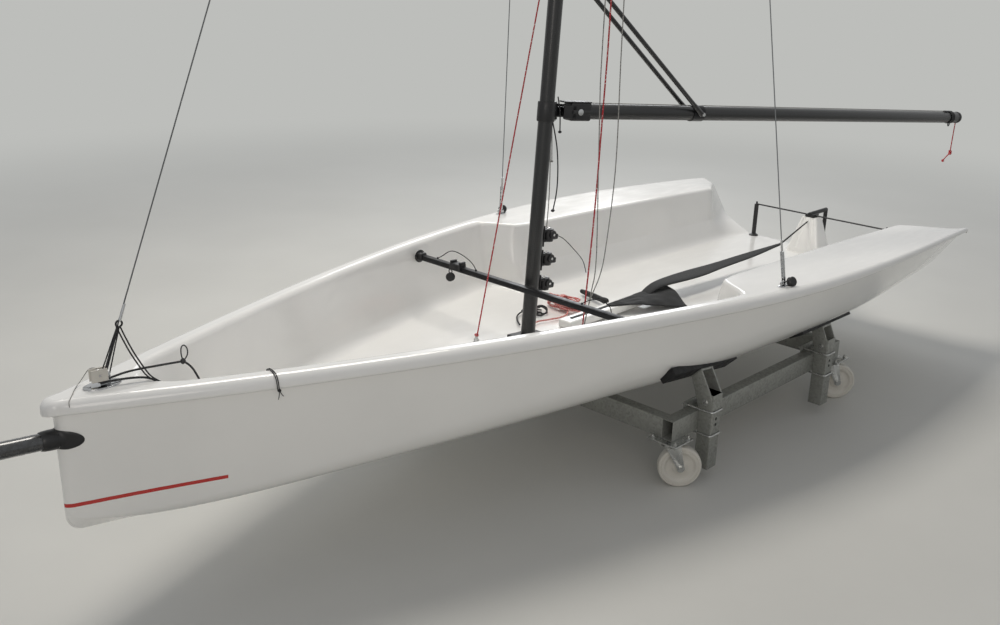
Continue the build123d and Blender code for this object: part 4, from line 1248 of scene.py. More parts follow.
    def tails(self) -> None:
        """Lets the ends of the control lines fall behind the mast, from the gooseneck to the cleats."""
        paths = (
            ("vang_tail_knotted", Finishes.ROPE_BLACK, 0.0024,
             ((2.012, .022, 1.090), (2.020, .026, 1.050), (2.024, .028, 1.000), (2.027, .026, 0.957))),
            ("vang_tail_looped", Finishes.ROPE_BLACK, 0.0026,
             ((1.990, .020, 0.998), (2.008, .026, 0.930), (2.022, .026, 0.861), (2.030, .024, 0.773),
              (2.026, .022, 0.699), (2.013, .020, 0.652))),
            ("cunningham_line", Finishes.ROPE_GREY, 0.0018,
             ((1.996, .004, 1.020), (1.999, .004, 0.940), (2.007, .003, 0.800), (2.009, .002, 0.685),
              (2.004, .000, 0.582))),
            ("cunningham_line_second", Finishes.ROPE_GREY, 0.0018,
             ((1.994, .012, 1.020), (2.000, .012, 0.920), (2.004, .012, 0.845))),
            ("cleat_tail_thin", Finishes.ROPE_BLACK, 0.0017,
             ((2.050, .000, 0.545), (2.090, .002, 0.532), (2.130, .006, 0.500), (2.169, .010, 0.463),
              (2.218, .012, 0.418), (2.238, .012, 0.384), (2.249, .012, 0.352))),
        )
        for name, finish, radius, path in paths:
            cord = [line(name, BOAT.path(path), radius)]
            end = BOAT.at(*path[-1])
            if name not in ("cunningham_line", "cleat_tail_thin"):
                cord.append(ball(f"{name}_knot", end, radius * 2.4))
                cord.append(ring(f"{name}_turn", end, Vector((0.4, 0.2, 1.0)), radius * 2.0, radius))
            dress(joined(name, cord), finish)

    def build(self) -> None:
        """Builds the mast and what is fixed to it."""
        self.tube()
        self.step_and_head()
        self.brackets()
        self.cleat_blocks()
        self.tails()


@dataclass
class Rigging:
    """Stays, their adjusters and plates, and the lines that are set up along the mast."""

    form: HullForm
    plate_aft: float = 2.530
    plate_inset: float = 0.035
    sheave_h: float = 5.300

    def plate(self, side: int) -> Vector:
        """Deck under one chainplate."""
        share = (self.plate_aft - BOAT.stem_aft) / (BOAT.length - BOAT.stem_aft)
        rows = self.form.stations
        low, high = next(pair for pair in zip(rows, rows[1:]) if pair[0][0] <= share <= pair[1][0])
        part = (share - low[0]) / (high[0] - low[0])
        y, z = mix(low[1], high[1], part) - self.plate_inset, mix(low[2], high[2], part) + 0.008
        return BOAT.at(self.plate_aft, side * y, z)

    def shroud(self, side: int) -> tuple[Vector, Vector]:
        """Lower end of a shroud's adjuster, and the way up from it to the spreader's tip."""
        start = self.plate(side) + Vector((0, 0, 0.020))
        return start, (BOAT.tip(side) - start).normalized()

    def stays(self) -> None:
        """Dresses the wires with swaged ends."""
        for node in ("forestay", "shroud_port", "shroud_starboard"):
            recast(f"{node}_wire", node, 0.0, 2, Finishes.WIRE)
        ends = []
        for side in SIDES:
            start, up = self.shroud(side)
            ends.append(bar("shroud_swage", start + up * 0.121, start + up * 0.165, 0.0042, 20))
        foot = BOAT.at(BOAT.stay_aft, 0, BOAT.deck_z + 0.034)
        up = (BOAT.mast(*BOAT.hounds) - foot).normalized()
        ends.append(bar("forestay_swage", foot + up * 0.150, foot + up * 0.200, 0.0042, 20))
        dress(joined("stay_swages", ends), Finishes.STAINLESS)

    def adjusters(self) -> None:
        """Models the perforated vernier plates, the chainplate straps and the block by each of them."""
        plates, straps = [], []
        for side in SIDES:
            seat = self.plate(side)
            start, up = self.shroud(side)
            across = Vector((0, 1, 0)).cross(up).normalized()
            turn = Matrix((tuple(across), tuple(up.cross(across)), tuple(up))).transposed().to_quaternion()
            for gap in (-0.0045, 0.0045):
                strap = cube("vernier_plate", (0.0135, 0.0015, 0.118), start + up * 0.060 + Vector((0, gap, 0)), turn)
                plates.append(soften(strap, 0.0006, 1))
            for k in range(6):
                hole = start + up * (0.014 + 0.018 * k)
                plates.append(bar("vernier_pin", hole - Vector((0, 0.0062, 0)), hole + Vector((0, 0.0062, 0)),
                                  0.0022 if k % 2 else 0.0032, 12))
            straps.append(cube("chainplate_strap", (0.038, 0.004, 0.0175), seat + Vector((0, 0, 0.00975))))
            straps.append(cube("chainplate_foot", (0.052, 0.018, 0.003), seat + Vector((0, 0, 0.0022))))
            straps.append(ring("chainplate_ring", seat + Vector((0.012, 0, 0.014)), Vector((0.3, 1, 0)), 0.008, 0.0016))
        dress(joined("shroud_vernier_plates", plates), Finishes.STAINLESS, nodes=["shroud_adjusters"], angle=30)
        for strap in straps:
            soften(strap, 0.0008, 2)
        dress(joined("chainplate_straps", straps), Finishes.STAINLESS, nodes=["chainplates"], angle=30)
        for side in SIDES:
            seat = self.plate(side) + Vector((-0.030, side * 0.018, 0.016))
            shell = turned(f"rail_block_{side_name(side)}",
                           [(0.0, -0.012), (0.014, -0.012), (0.019, -0.008), (0.014, -0.003), (0.014, 0.003),
                            (0.019, 0.008), (0.014, 0.012), (0.0, 0.012)], seat, Vector((0.35, 1.0, 0.5)), 32)
            dress(shell, Finishes.NYLON_BLACK, angle=30)

    def set_lines(self) -> None:
        """Lays the taut halyards from their sheaves on the mast to the blocks on the boat."""
        foot = BOAT.at(1.936, 0.257, 0.178)
        slack = (
            ("halyard_red_aft", Finishes.ROPE_RED, 0.0030, (-0.060, 0.016),
             ((1.959, .258, 0.464), (1.988, .250, 0.733), (2.018, .234, 1.021), (2.064, .211, 1.446))),
            ("halyard_grey_inner", Finishes.ROPE_GREY, 0.0021, (-0.070, 0.004),
             ((1.952, .281, 0.396), (1.961, .294, 0.483), (1.992, .255, 0.769), (2.022, .217, 1.060),
              (2.038, .196, 1.250))),
            ("halyard_grey_outer", Finishes.ROPE_GREY, 0.0021, (-0.078, 0.016),
             ((1.947, .270, 0.346), (1.960, .319, 0.470), (1.973, .325, 0.598), (1.992, .326, 0.775),
              (2.009, .318, 0.919), (2.031, .295, 1.142), (2.044, .280, 1.330))),
        )
        knots = []
        for name, finish, radius, head, path in slack:
            points = [foot, *BOAT.path(path), BOAT.mast(*head, self.sheave_h)]
            dress(line(name, points, radius), finish)
            knots.append(ring(f"{name}_hitch", foot + Vector((0, 0, 0.010 + radius * 3)), Vector((0.3, 0.2, 1.0)),
                              radius * 2.2, radius))
        low = BOAT.at(1.740, -0.112, 0.150)
        fore = [low, BOAT.mast(0.036, 0.0, 1.600), BOAT.mast(0.034, 0.0, self.sheave_h)]
        dress(line("halyard_red_fore", fore, 0.0027, False), Finishes.ROPE_RED)
        knots.append(ring("halyard_red_fore_hitch", low + Vector((0, 0, 0.016)), Vector((0.2, 0.4, 1.0)), 0.006,
                          0.0027))
        dress(joined("halyard_hitches", knots), Finishes.ROPE_RED)
        for name, place in (("port", foot), ("starboard", low)):
            eye = ring(f"halyard_eye_{name}", place + Vector((0, 0, -0.006)), Vector((1, 0.3, 0)), 0.010, 0.0022)
            seat = turned(f"halyard_eye_{name}", [(0.0, 0.0), (0.016, 0.0), (0.016, 0.0015), (0.008, 0.004),
                                                  (0.006, 0.030), (0.0, 0.032)],
                          place + Vector((0, 0, -0.046 if place is foot else -0.016)), Vector((0, 0, 1)), 28)
            dress(joined(f"halyard_eye_{name}", [eye, seat]), Finishes.STAINLESS)
        sheaves = [soften(cube(f"halyard_exit_{k}", (0.010, 0.012, 0.070), BOAT.mast(x, y, self.sheave_h + 0.02)),
                          0.003, 2) for k, (x, y) in enumerate(((0.036, -0.006), (-0.040, 0.008)))]
        dress(joined("halyard_exit_boxes", sheaves), Finishes.NYLON_BLACK)

    def build(self) -> None:
        """Builds the stays and the set-up lines."""
        self.stays()
        self.adjusters()
        self.set_lines()


# Boom


@dataclass
class Boom:
    """Carbon boom with its toggle, the twin struts above it and the lines at its end."""

    start: float = 0.068
    length: float = 2.400
    radius: float = 0.030
    strut_rise: float = 0.520
    strut_foot: float = 0.700
    strut_head: float = 0.044
    strut_side: float = 0.042
    strut_r: float = 0.009

    def tube(self) -> None:
        """Models the boom, slimmer towards its end, with moulded plugs."""
        tube = bar("boom_tube_wound", BOAT.boom(self.start, 0, 0), BOAT.boom(self.length, 0, 0), self.radius, 64,
                   self.radius * 0.9)
        dress(soften(tube, 0.0015, 2), Finishes.CARBON, Body.BOOM, ["boom_tube"])
        plug = bar("boom_end_plug", BOAT.boom(self.length - 0.002, 0, 0), BOAT.boom(self.length + 0.015, 0, 0),
                   self.radius * 0.96, 48, self.radius * 0.86)
        soften(plug, 0.003, 3)
        sheave = cube("boom_end_sheave_box", (0.050, 0.020, 0.012), BOAT.boom(self.length - 0.070, 0, 0.026),
                      BOAT.boom_frame().to_quaternion())
        soften(sheave, 0.003, 2)
        eye = ring("boom_end_eye", BOAT.boom(self.length - 0.045, 0, -0.033), Vector((0, 1, 0)), 0.009, 0.0025)
        dress(joined("boom_end_fitting", [plug, sheave, eye]), Finishes.NYLON_BLACK, Body.BOOM, ["boom_end"])

    def toggle(self) -> None:
        """Dresses the toggle and adds the clamp block with its bright pivot bolt."""
        recast("boom_toggle_casting", "boom_toggle", 0.0012, 2, Finishes.ALLOY_BLACK, body=Body.BOOM, angle=30)
        turn = BOAT.boom_frame().to_quaternion()
        jaw = soften(cube("boom_jaw", (0.094, 0.058, 0.068), BOAT.boom(0.105, 0, 0), turn), 0.007, 4)
        cheeks = [cube("boom_jaw_cheek", (0.058, 0.007, 0.050), BOAT.boom(0.053, side * 0.0255, 0), turn)
                  for side in SIDES]
        ledge = cube("boom_jaw_ledge", (0.120, 0.050, 0.006), BOAT.boom(0.094, 0, 0.036), turn)
        for piece in (*cheeks, ledge):
            soften(piece, 0.0022, 3)
        dress(joined("boom_jaw", [jaw, *cheeks, ledge]), Finishes.NYLON_BLACK, Body.BOOM)
        heads = [soften(bar("boom_jaw_bolt", BOAT.boom(0.100, side * 0.028, 0), BOAT.boom(0.100, side * 0.0325, 0),
                            0.0125, 32), 0.0015, 2) for side in SIDES]
        dress(joined("boom_jaw_bolts", heads), Finishes.STAINLESS, Body.BOOM)

    def struts(self) -> None:
        """Models the two struts with flattened, bolted feet, and their swivel above."""
        pieces = []
        for side in SIDES:
            y = side * self.strut_side
            low, high = BOAT.boom(self.strut_foot, y, 0), BOAT.boom(self.strut_head, y, self.strut_rise)
            pieces.append(soften(bar("strut_rod", low, high, self.strut_r, 32), 0.002, 2))
            run = (high - low).normalized()
            pieces.append(bar("strut_sleeve", low - run * 0.004, low + run * 0.060, self.strut_r * 1.22, 32,
                              self.strut_r * 1.06))
            pieces.append(bar("strut_sleeve", high - run * 0.060, high + run * 0.004, self.strut_r * 1.06, 32,
                              self.strut_r * 1.22))
        dress(joined("boom_strut_rods", pieces), Finishes.CARBON, Body.BOOM, ["boom_struts"])
        for name, node, edge, steps in (("strut_swivel_casting", "strut_swivel", 0.0012, 2),
                                        ("strut_band_clamp", "strut_band", 0.0008, 1)):
            recast(name, node, edge, steps, Finishes.ALLOY_BLACK, body=Body.BOOM, angle=30)
        caps = []
        for side in SIDES:
            y = side * (self.strut_side + self.strut_r)
            for back, rise, radius in ((self.strut_foot, 0, 0.0075), (self.strut_head, self.strut_rise, 0.0065)):
                caps.append(bar("strut_bolt_head", BOAT.boom(back, y + side * 0.001, rise),
                                BOAT.boom(back, y + side * 0.006, rise), radius, 6))
        dress(joined("strut_bolt_heads", caps), Finishes.STAINLESS, Body.BOOM, angle=30)

    def straps(self) -> None:
        """Adds the webbing band and the tail at the boom's end, and the line that runs along the boom."""
        at, slim = self.length - 0.055, self.radius * 0.9 + 0.0008
        frame = BOAT.boom_frame()
        rows = [[frame @ Vector((-(at + back), (slim + grow) * math.cos(a), (slim + grow) * math.sin(a)))
                 for a in np.linspace(0, 2 * math.pi, 49)]
                for back, grow in ((-0.012, 0.0), (-0.012, 0.0018), (0.012, 0.0018), (0.012, 0.0))]
        band = skin("boom_end_strap", rows, True)
        add_modifier(band, "SOLIDIFY", thickness=0.001, offset=-1.0)
        dress(band, Finishes.WEBBING, Body.BOOM)
        top = BOAT.boom(self.length + 0.006, 0.0, -0.018)
        knot = top + Vector((0.004, 0.0, -0.160))
        loose = [knot, knot + Vector((0.012, -0.012, -0.016)), knot + Vector((0.021, -0.021, -0.038))]
        cord = [line("outhaul_tail", [top, top.lerp(knot, 0.5) + Vector((0.003, 0, 0)), knot], 0.0026),
                line("outhaul_end", loose, 0.0026), ball("outhaul_knot", knot, 0.0085),
                ball("outhaul_end_knot", loose[-1], 0.0070),
                ring("outhaul_turn", knot + Vector((0, 0, 0.010)), Vector((0.3, 0.2, 1)), 0.0062, 0.0026)]
        dress(joined("outhaul_tail", cord), Finishes.ROPE_RED, Body.BOOM)
        run = [BOAT.boom(0.170, -0.006, self.radius + 0.0022)]
        run += [BOAT.boom(b, -0.006, self.radius * (1 - 0.1 * b / self.length) + 0.0022)
                for b in (0.60, 1.20, 1.80, self.length - 0.075)]
        dress(line("outhaul_run", run, 0.0016, False), Finishes.ROPE_GREY, Body.BOOM)

    def build(self) -> None:
        """Builds the boom."""
        self.tube()
        self.toggle()
        self.struts()
        self.straps()


# Cockpit


@dataclass
class Cockpit:
    """What stands in the cockpit: case, jib track, toe strap, pedestal and stern fittings."""

    deck: Deck
    track_aft: float = 1.850
    track_z: float = 0.372
    car_y: float = -0.340
    post_aft: float = 4.270
    post_y: float = 0.390
    hank_aft: float = 2.330

    def lying(self, points: Iterable[Point]) -> list[Vector]:
        """Points on the boat, each given as (aft, y, height over the floor)."""
        return [BOAT.at(aft, y, self.deck.floor(aft) + over) for aft, y, over in points]

    def castings(self) -> None:
        """Dresses the moulded parts that follow the CAD solids."""
        recast("centreboard_case_cap", "centreboard_case", 0.008, 4, Finishes.DECK)
        slot = cube("centreboard_slot", (0.440, 0.016, 0.003), BOAT.at(2.400, 0, self.deck.floor(2.140) + 0.0372))
        dress(soften(slot, 0.001, 1), Finishes.RUBBER, slot="plastic_black")
        recast("transom_pedestal_moulding", "transom_pedestal", 0.007, 4, Finishes.DECK, angle=50)
        for name, node, edge in (("rudder_bracket_tube", "rudder_bracket", 0.0015),
                                 ("sheet_post_pair", "sheet_posts", 0.0012)):
            recast(name, node, edge, 2, Finishes.NYLON_BLACK, slot="spar_black")
        floor = self.deck.floor(self.post_aft)
        feet = [turned(f"sheet_post_foot_{k}", [(0.0, 0.0006), (0.026, 0.0006), (0.026, 0.004), (0.016, 0.010),
                                                 (0.0125, 0.012)],
                       BOAT.at(self.post_aft, side * self.post_y, floor + 0.0002), Vector((0, 0, 1)), 40)
                for k, side in enumerate(SIDES)]
        dress(joined("sheet_post_feet", feet), Finishes.NYLON_BLACK, slot="spar_black")

    def jib_track(self) -> None:
        """Models the track with its T slot, end stops, the car and its hanging block."""
        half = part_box("jib_track")[1].y
        centre = BOAT.at(self.track_aft, 0, self.track_z)
        rail = cube("jib_track_rail", (0.0255, 2 * half - 0.001, 0.0215), centre)
        dress(soften(step_top(rail, 0.0075, -0.004), 0.0015, 2), Finishes.ALLOY_BLACK, nodes=["jib_track"], angle=30)
        feet = []
        for side in SIDES:
            seat = centre + Vector((0, side * (half - 0.016), -0.001))
            foot = soften(cube("jib_track_foot", (0.038, 0.032, 0.032), seat), 0.008, 4)
            pad = turned("jib_track_pad", [(0.0, -0.004), (0.024, -0.004), (0.027, -0.002), (0.027, 0.001),
                                           (0.020, 0.004), (0.0, 0.005)],
                         centre + Vector((0, side * (half - 0.006), -0.003)), Vector((0, -side, 0)), 36)
            screw = ball("jib_track_screw", seat + Vector((0.0, -side * 0.004, 0.0155)), 0.0045)
            feet += [foot, pad, screw]
        dress(joined("jib_track_feet", feet), Finishes.NYLON_BLACK)
        car = cube("jib_car_slider", (0.041, 0.060, 0.030), centre + Vector((0, self.car_y, 0.003)))
        soften(car, 0.005, 3)
        lugs = [soften(cube("jib_car_lug", (0.034, 0.010, 0.018), centre + Vector((0, self.car_y + dy, 0.018))),
                       0.003, 2) for dy in (-0.025, 0.025)]
        dress(joined("jib_car_body", [car, *lugs]), Finishes.NYLON_BLACK, nodes=["jib_car"])
        hang = centre + Vector((0.014, self.car_y - 0.028, -0.045))
        shell = turned("jib_hanging_block", [(0.0, -0.010), (0.014, -0.010), (0.018, -0.007), (0.013, -0.002),
                                              (0.013, 0.002), (0.018, 0.007), (0.014, 0.010), (0.0, 0.010)],
                       hang, Vector((0.9, 0.4, 0.1)), 32)
        link = ring("jib_block_link", hang + Vector((0, 0, 0.024)), Vector((1, 0, 0)), 0.009, 0.002)
        dress(joined("jib_hanging_block", [shell, link]), Finishes.NYLON_BLACK, angle=30)
        arc = ((1.842, -.452, .388), (1.848, -.434, .398), (1.852, -.402, .424), (1.852, -.370, .436),
               (1.850, -.320, .432), (1.848, -.275, .420), (1.846, -.239, .402), (1.842, -.226, .386))
        near = ((1.842, .330, .386), (1.850, .352, .404), (1.866, .390, .412), (1.886, .420, .396),
                (1.892, .432, .366), (1.886, .436, .330))
        cords = [line("jib_car_cord", BOAT.path(path), 0.0019) for path in (arc, near)]
        for path in (arc, near):
            cords.append(ball("jib_car_cord_knot", BOAT.at(*path[-1]), 0.0050))
            cords.append(ball("jib_car_cord_knot", BOAT.at(*path[0]), 0.0045))
        dress(joined("jib_car_cords", cords), Finishes.ROPE_BLACK)

    def toe_strap(self) -> None:
        """Models the padded strap: a wide quilted part, stitched bands and a laced, tapered end."""
        run = ((2.668, .022, .019), (2.700, .026, .040), (2.760, .030, .062), (2.840, .038, .066), (2.960, .050, .064),
               (3.120, .052, .064), (3.240, .038, .068), (3.560, .034, .074), (3.700, .022, .078), (3.790, .013, .081),
               (3.880, .008, .084))
        rows = []
        for aft, half, over in run:
            z = self.deck.floor(aft) + over
            thick = 0.012 if aft > 3.2 else 0.016
            row = []
            for k in range(25):
                turn = 2 * math.pi * k / 24
                y = half * math.copysign(abs(math.cos(turn)) ** 0.55, math.cos(turn))
                up = thick / 2 * math.copysign(abs(math.sin(turn)) ** 0.9, math.sin(turn))
                row.append(BOAT.at(aft, y, z + thick / 2 + up))
            rows.append(row)
        caps = [[sum(row[:-1], Vector()) / 24] * len(row) for row in (rows[0], rows[-1])]
        strap = skin("hiking_strap_padded", [caps[0], *rows, caps[1]], True)
        add_modifier(strap, "SUBSURF", levels=2, render_levels=2)
        flap = self.flap()
        low = BOAT.at(3.878, 0, self.deck.floor(3.880) + 0.090)
        end = BOAT.at(4.146, 0, 0.262)
        lace = [line("hiking_strap_lace", [low + Vector((0, dy, 0)), end + Vector((0, dy * 0.6, 0))], 0.0022, False)
                for dy in (-0.003, 0.003)]
        lace.append(ring("hiking_strap_eye", low, Vector((0, 0.2, 1)), 0.008, 0.002))
        padded = joined("hiking_strap_padded", [strap, flap, *lace])
        dress(padded, Finishes.WEBBING, nodes=["hiking_strap"], angle=50)

    def flap(self) -> Piece:
        """Shapes the wide quilted cloth under the strap's front end, which hangs over the case to port."""
        rows = []
        for share in np.linspace(0.0, 1.0, 29):
            row = []
            for across in np.linspace(0.0, 1.0, 21):
                y = mix(-0.026 * share - 0.010, 0.014 + 0.152 * share ** 0.9, across)
                aft = mix(2.430, 2.885 - 0.095 * across, share)
                over = 0.0075 + 0.0035 * (math.sin(math.pi * 4 * share) ** 2) * (math.sin(math.pi * 3 * across) ** 2)
                rest = self.deck.floor(aft) + (0.040 if aft < 2.64 else 0.042)
                drop = min(max((y - 0.052) / 0.115, 0.0), 1.0)
                row.append(BOAT.at(aft, y, mix(rest, self.deck.floor(aft) + 0.004, ease(drop, 0.0, 1.0)) + over))
            rows.append(row)
        cloth = skin("hiking_strap_flap", rows)
        facing(cloth, cloth.data.polygons[0], (0, 0, 1))
        add_modifier(cloth, "SOLIDIFY", thickness=0.0060, offset=-1.0)
        return soften(cloth, 0.0016, 2, 60)

    def rope_hank(self) -> None:
        """Lays the hank of spare line by the mast's foot, its dark tail and the padded handle beside it."""
        floor = self.deck.floor(self.hank_aft)
        loops = []
        for k in range(11):
            wave = 0.35 * math.sin(k * 2.1)
            reach, wide = 0.082 + 0.010 * math.cos(k * 1.7), 0.026 + 0.006 * math.sin(k * 2.9)
            middle = BOAT.at(self.hank_aft + 0.004 * math.sin(k * 1.3), -0.168, floor + 0.013 + 0.0042 * k)
            path = []
            for t in np.linspace(0, 2 * math.pi, 25):
                x, y = wide * math.cos(t), reach * math.sin(t) * (1.0 + 0.06 * math.cos(3 * t))
                tilt = 0.006 * math.sin(t * 2 + k)
                path.append(middle + Vector((x * math.cos(wave) - y * math.sin(wave) * 0.5,
                                             y * math.cos(wave) + x * math.sin(wave), tilt + 0.0006 * t)))
            loops.append(line("rope_hank_loop", path, 0.0036))
        for k in range(4):
            loops.append(ring("rope_hank_turn", BOAT.at(self.hank_aft, -0.180 + 0.0075 * k, floor + 0.036),
                              Vector((0.05, 1, 0.1 * k)), 0.030, 0.0036))
        tail = [(2.360, -.180, .014), (2.300, -.110, .012), (2.240, -.085, .010), (2.160, -.100, .010),
                (2.080, -.120, .012), (2.010, -.070, .012)]
        loops.append(line("rope_hank_tail", self.lying(tail), 0.0034))
        dress(joined("rope_hank", loops), Finishes.ROPE_PALE)
        dark = []
        for k in range(7):
            spot = BOAT.at(2.225 - 0.016 * k, -0.205 + 0.012 * math.sin(k * 2.3),
                           self.deck.floor(2.2) + 0.012 + 0.004 * (k % 3))
            dark.append(ring("rope_bight", spot, Vector((0.5 * math.sin(k * 1.9), 0.4 * math.cos(k), 1.0)),
                             0.026 + 0.004 * math.sin(k), 0.0034))
        bight = [(2.250, -.235, .012), (2.180, -.250, .012), (2.110, -.235, .012), (2.050, -.190, .012),
                 (2.010, -.130, .012)]
        dark.append(line("rope_bight_tail", self.lying(bight), 0.0034))
        dress(joined("rope_bights", dark), Finishes.ROPE_BLACK)
        start, end = BOAT.at(2.560, -0.262, 0.139), BOAT.at(2.500, -0.062, 0.150)
        size = (end - start).length
        profile = [(0.0, 0.0), (0.006, 0.0), (0.009, 0.004), (0.0105, 0.020), (0.0125, 0.060), (0.0135, 0.110),
                   (0.0120, size - 0.040), (0.0145, size - 0.020), (0.0140, size - 0.006), (0.010, size), (0.0, size)]
        dress(turned("padded_handle", profile, start, (end - start) / size, 32), Finishes.RUBBER, slot="plastic_black")

    def build(self) -> None:
        """Builds what stands in the cockpit."""
        self.castings()
        self.jib_track()
        self.toe_strap()
        self.rope_hank()


# Cradle


@dataclass
class Cradle:
    """Galvanised frame with clamped posts, rubber pads and plates for the castors.

    plate_bolts holds how far a castor plate's bolts lie ahead and aside of its middle, and arm_bolt a
    pivot bolt's place ahead of its post and its height.
    """

    post_y: float = 0.710
    post_half: float = 0.030
    posts_x: Flat = (0.450, -0.435)
    beam_half: float = 0.025
    clamp_z: Flat = (0.2835, 0.1865)
    plate_bolts: Flat = (0.043, 0.050)
    arm_bolt: Flat = (0.0363, 0.318)
    hole_z: Flat = (0.227, 0.250)

    def frame(self) -> None:
        """Dresses the beams, posts, arms, plates and pads after the CAD solids, with real edge radii."""
        for node in ("cradle_beam_port", "cradle_beam_starboard", "cradle_beam_front", "cradle_beam_rear"):
            recast(f"{node}_section", node, 0.003, 3, Finishes.GALVANISED, angle=30)
        for name, node, edge, steps, finish in (
                ("cradle_post_tubes", "cradle_posts", 0.003, 3, Finishes.GALVANISED),
                ("cradle_arm_plates", "cradle_pad_arms", 0.003, 2, Finishes.GALVANISED),
                ("castor_top_plates", "castor_plates", 0.0015, 2, Finishes.ZINC_PLATE),
                ("cradle_bilge_pads", "cradle_pads", 0.002, 2, Finishes.RUBBER),
                ("cradle_keel_blocks", "cradle_keel_pads", 0.003, 2, Finishes.RUBBER)):
            recast(name, node, edge, steps, finish, angle=30)

    def clamps(self) -> None:
        """Models two U bolts round each post, one over the beam and one under it, with a backing plate inboard."""
        bent, nuts, plates = [], [], []
        wire = 0.0038
        reach = self.post_half + wire + 0.0008
        for x in self.posts_x:
            for side in SIDES:
                inner = side * (BOAT.castor_y - self.beam_half - 0.022)
                outer = side * (self.post_y + self.post_half + wire + 0.0008)
                for z in self.clamp_z:
                    bow = [Vector((x - reach, inner, z)), Vector((x - reach, outer - side * 0.010, z))]
                    bow += [Vector((x - reach + 0.010 * (1 - math.cos(t)), outer - side * 0.010 * (1 - math.sin(t)), z))
                            for t in np.linspace(0.3, math.pi / 2, 5)]
                    bow += [Vector((2 * x - point.x, point.y, point.z)) for point in reversed(bow)]
                    bent.append(line("u_bolt", bow, wire, False, 3))
                    for dx in (-reach, reach):
                        seat = Vector((x + dx, side * (BOAT.castor_y - self.beam_half - 0.0066), z))
                        nuts.append(bar("u_bolt_nut", seat, seat - Vector((0, side * 0.0065, 0)), 0.0075, 6))
                middle = Vector((x, side * (BOAT.castor_y - self.beam_half - 0.0036), sum(self.clamp_z) / 2))
                plates.append(soften(cube("u_bolt_plate", (2 * reach + 0.030, 0.005, 0.126), middle), 0.0012, 2))
        dress(joined("post_u_bolts", bent), Finishes.ZINC_PLATE)
        dress(joined("post_u_bolt_nuts", nuts), Finishes.ZINC_PLATE, angle=30)
        dress(joined("post_backing_plates", plates), Finishes.GALVANISED, angle=30)

    def bolts(self) -> None:
        """Adds the bolts of the castor plates, the pivot bolts at the posts' heads and thin black discs of painted
        shade for the posts' spare holes.
        """
        heads, hole_shade_discs = [], []
        for x in (-BOAT.castor_x, BOAT.castor_x):
            for side in SIDES:
                for dx in (-self.plate_bolts[0], self.plate_bolts[0]):
                    for dy in (-self.plate_bolts[1], self.plate_bolts[1]):
                        for name, z, tall, radius, sides in (("bolt", 0.189, -0.006, 0.0085, 6),
                                                             ("nut", 0.195, 0.008, 0.0080, 6),
                                                             ("stud", 0.195, 0.014, 0.0042, 16)):
                            seat = Vector((x + dx, side * BOAT.castor_y + dy, z))
                            heads.append(bar(f"castor_{name}", seat, seat + Vector((0, 0, tall)), radius, sides))
        for x in self.posts_x:
            for side in SIDES:
                for way in SIDES:
                    out = Vector((way, 0, 0))
                    seat = Vector((x + way * self.arm_bolt[0], side * self.post_y, self.arm_bolt[1]))
                    heads.append(bar("arm_bolt", seat, seat + out * 0.0065, 0.0098, 6))
                    heads.append(bar("arm_washer", seat, seat + out * 0.0016, 0.0128, 32))
                # painted shade: a thin black disc on the post's face stands for the dark inside of each spare hole
                for z in self.hole_z:
                    face = Vector((x, side * (self.post_y + self.post_half), z))
                    hole_shade_discs.append(bar("post_hole_painted_shade", face, face + Vector((0, side * 0.0006, 0)), 0.0062, 24))
        dress(joined("cradle_bolts", heads), Finishes.ZINC_PLATE, angle=30)
        dress(joined("post_hole_painted_shade_discs", hole_shade_discs), Finishes.RUBBER, slot="galvanised", angle=30)

    def build(self) -> None:
        """Builds the cradle's frame."""
        self.frame()
        self.clamps()
        self.bolts()


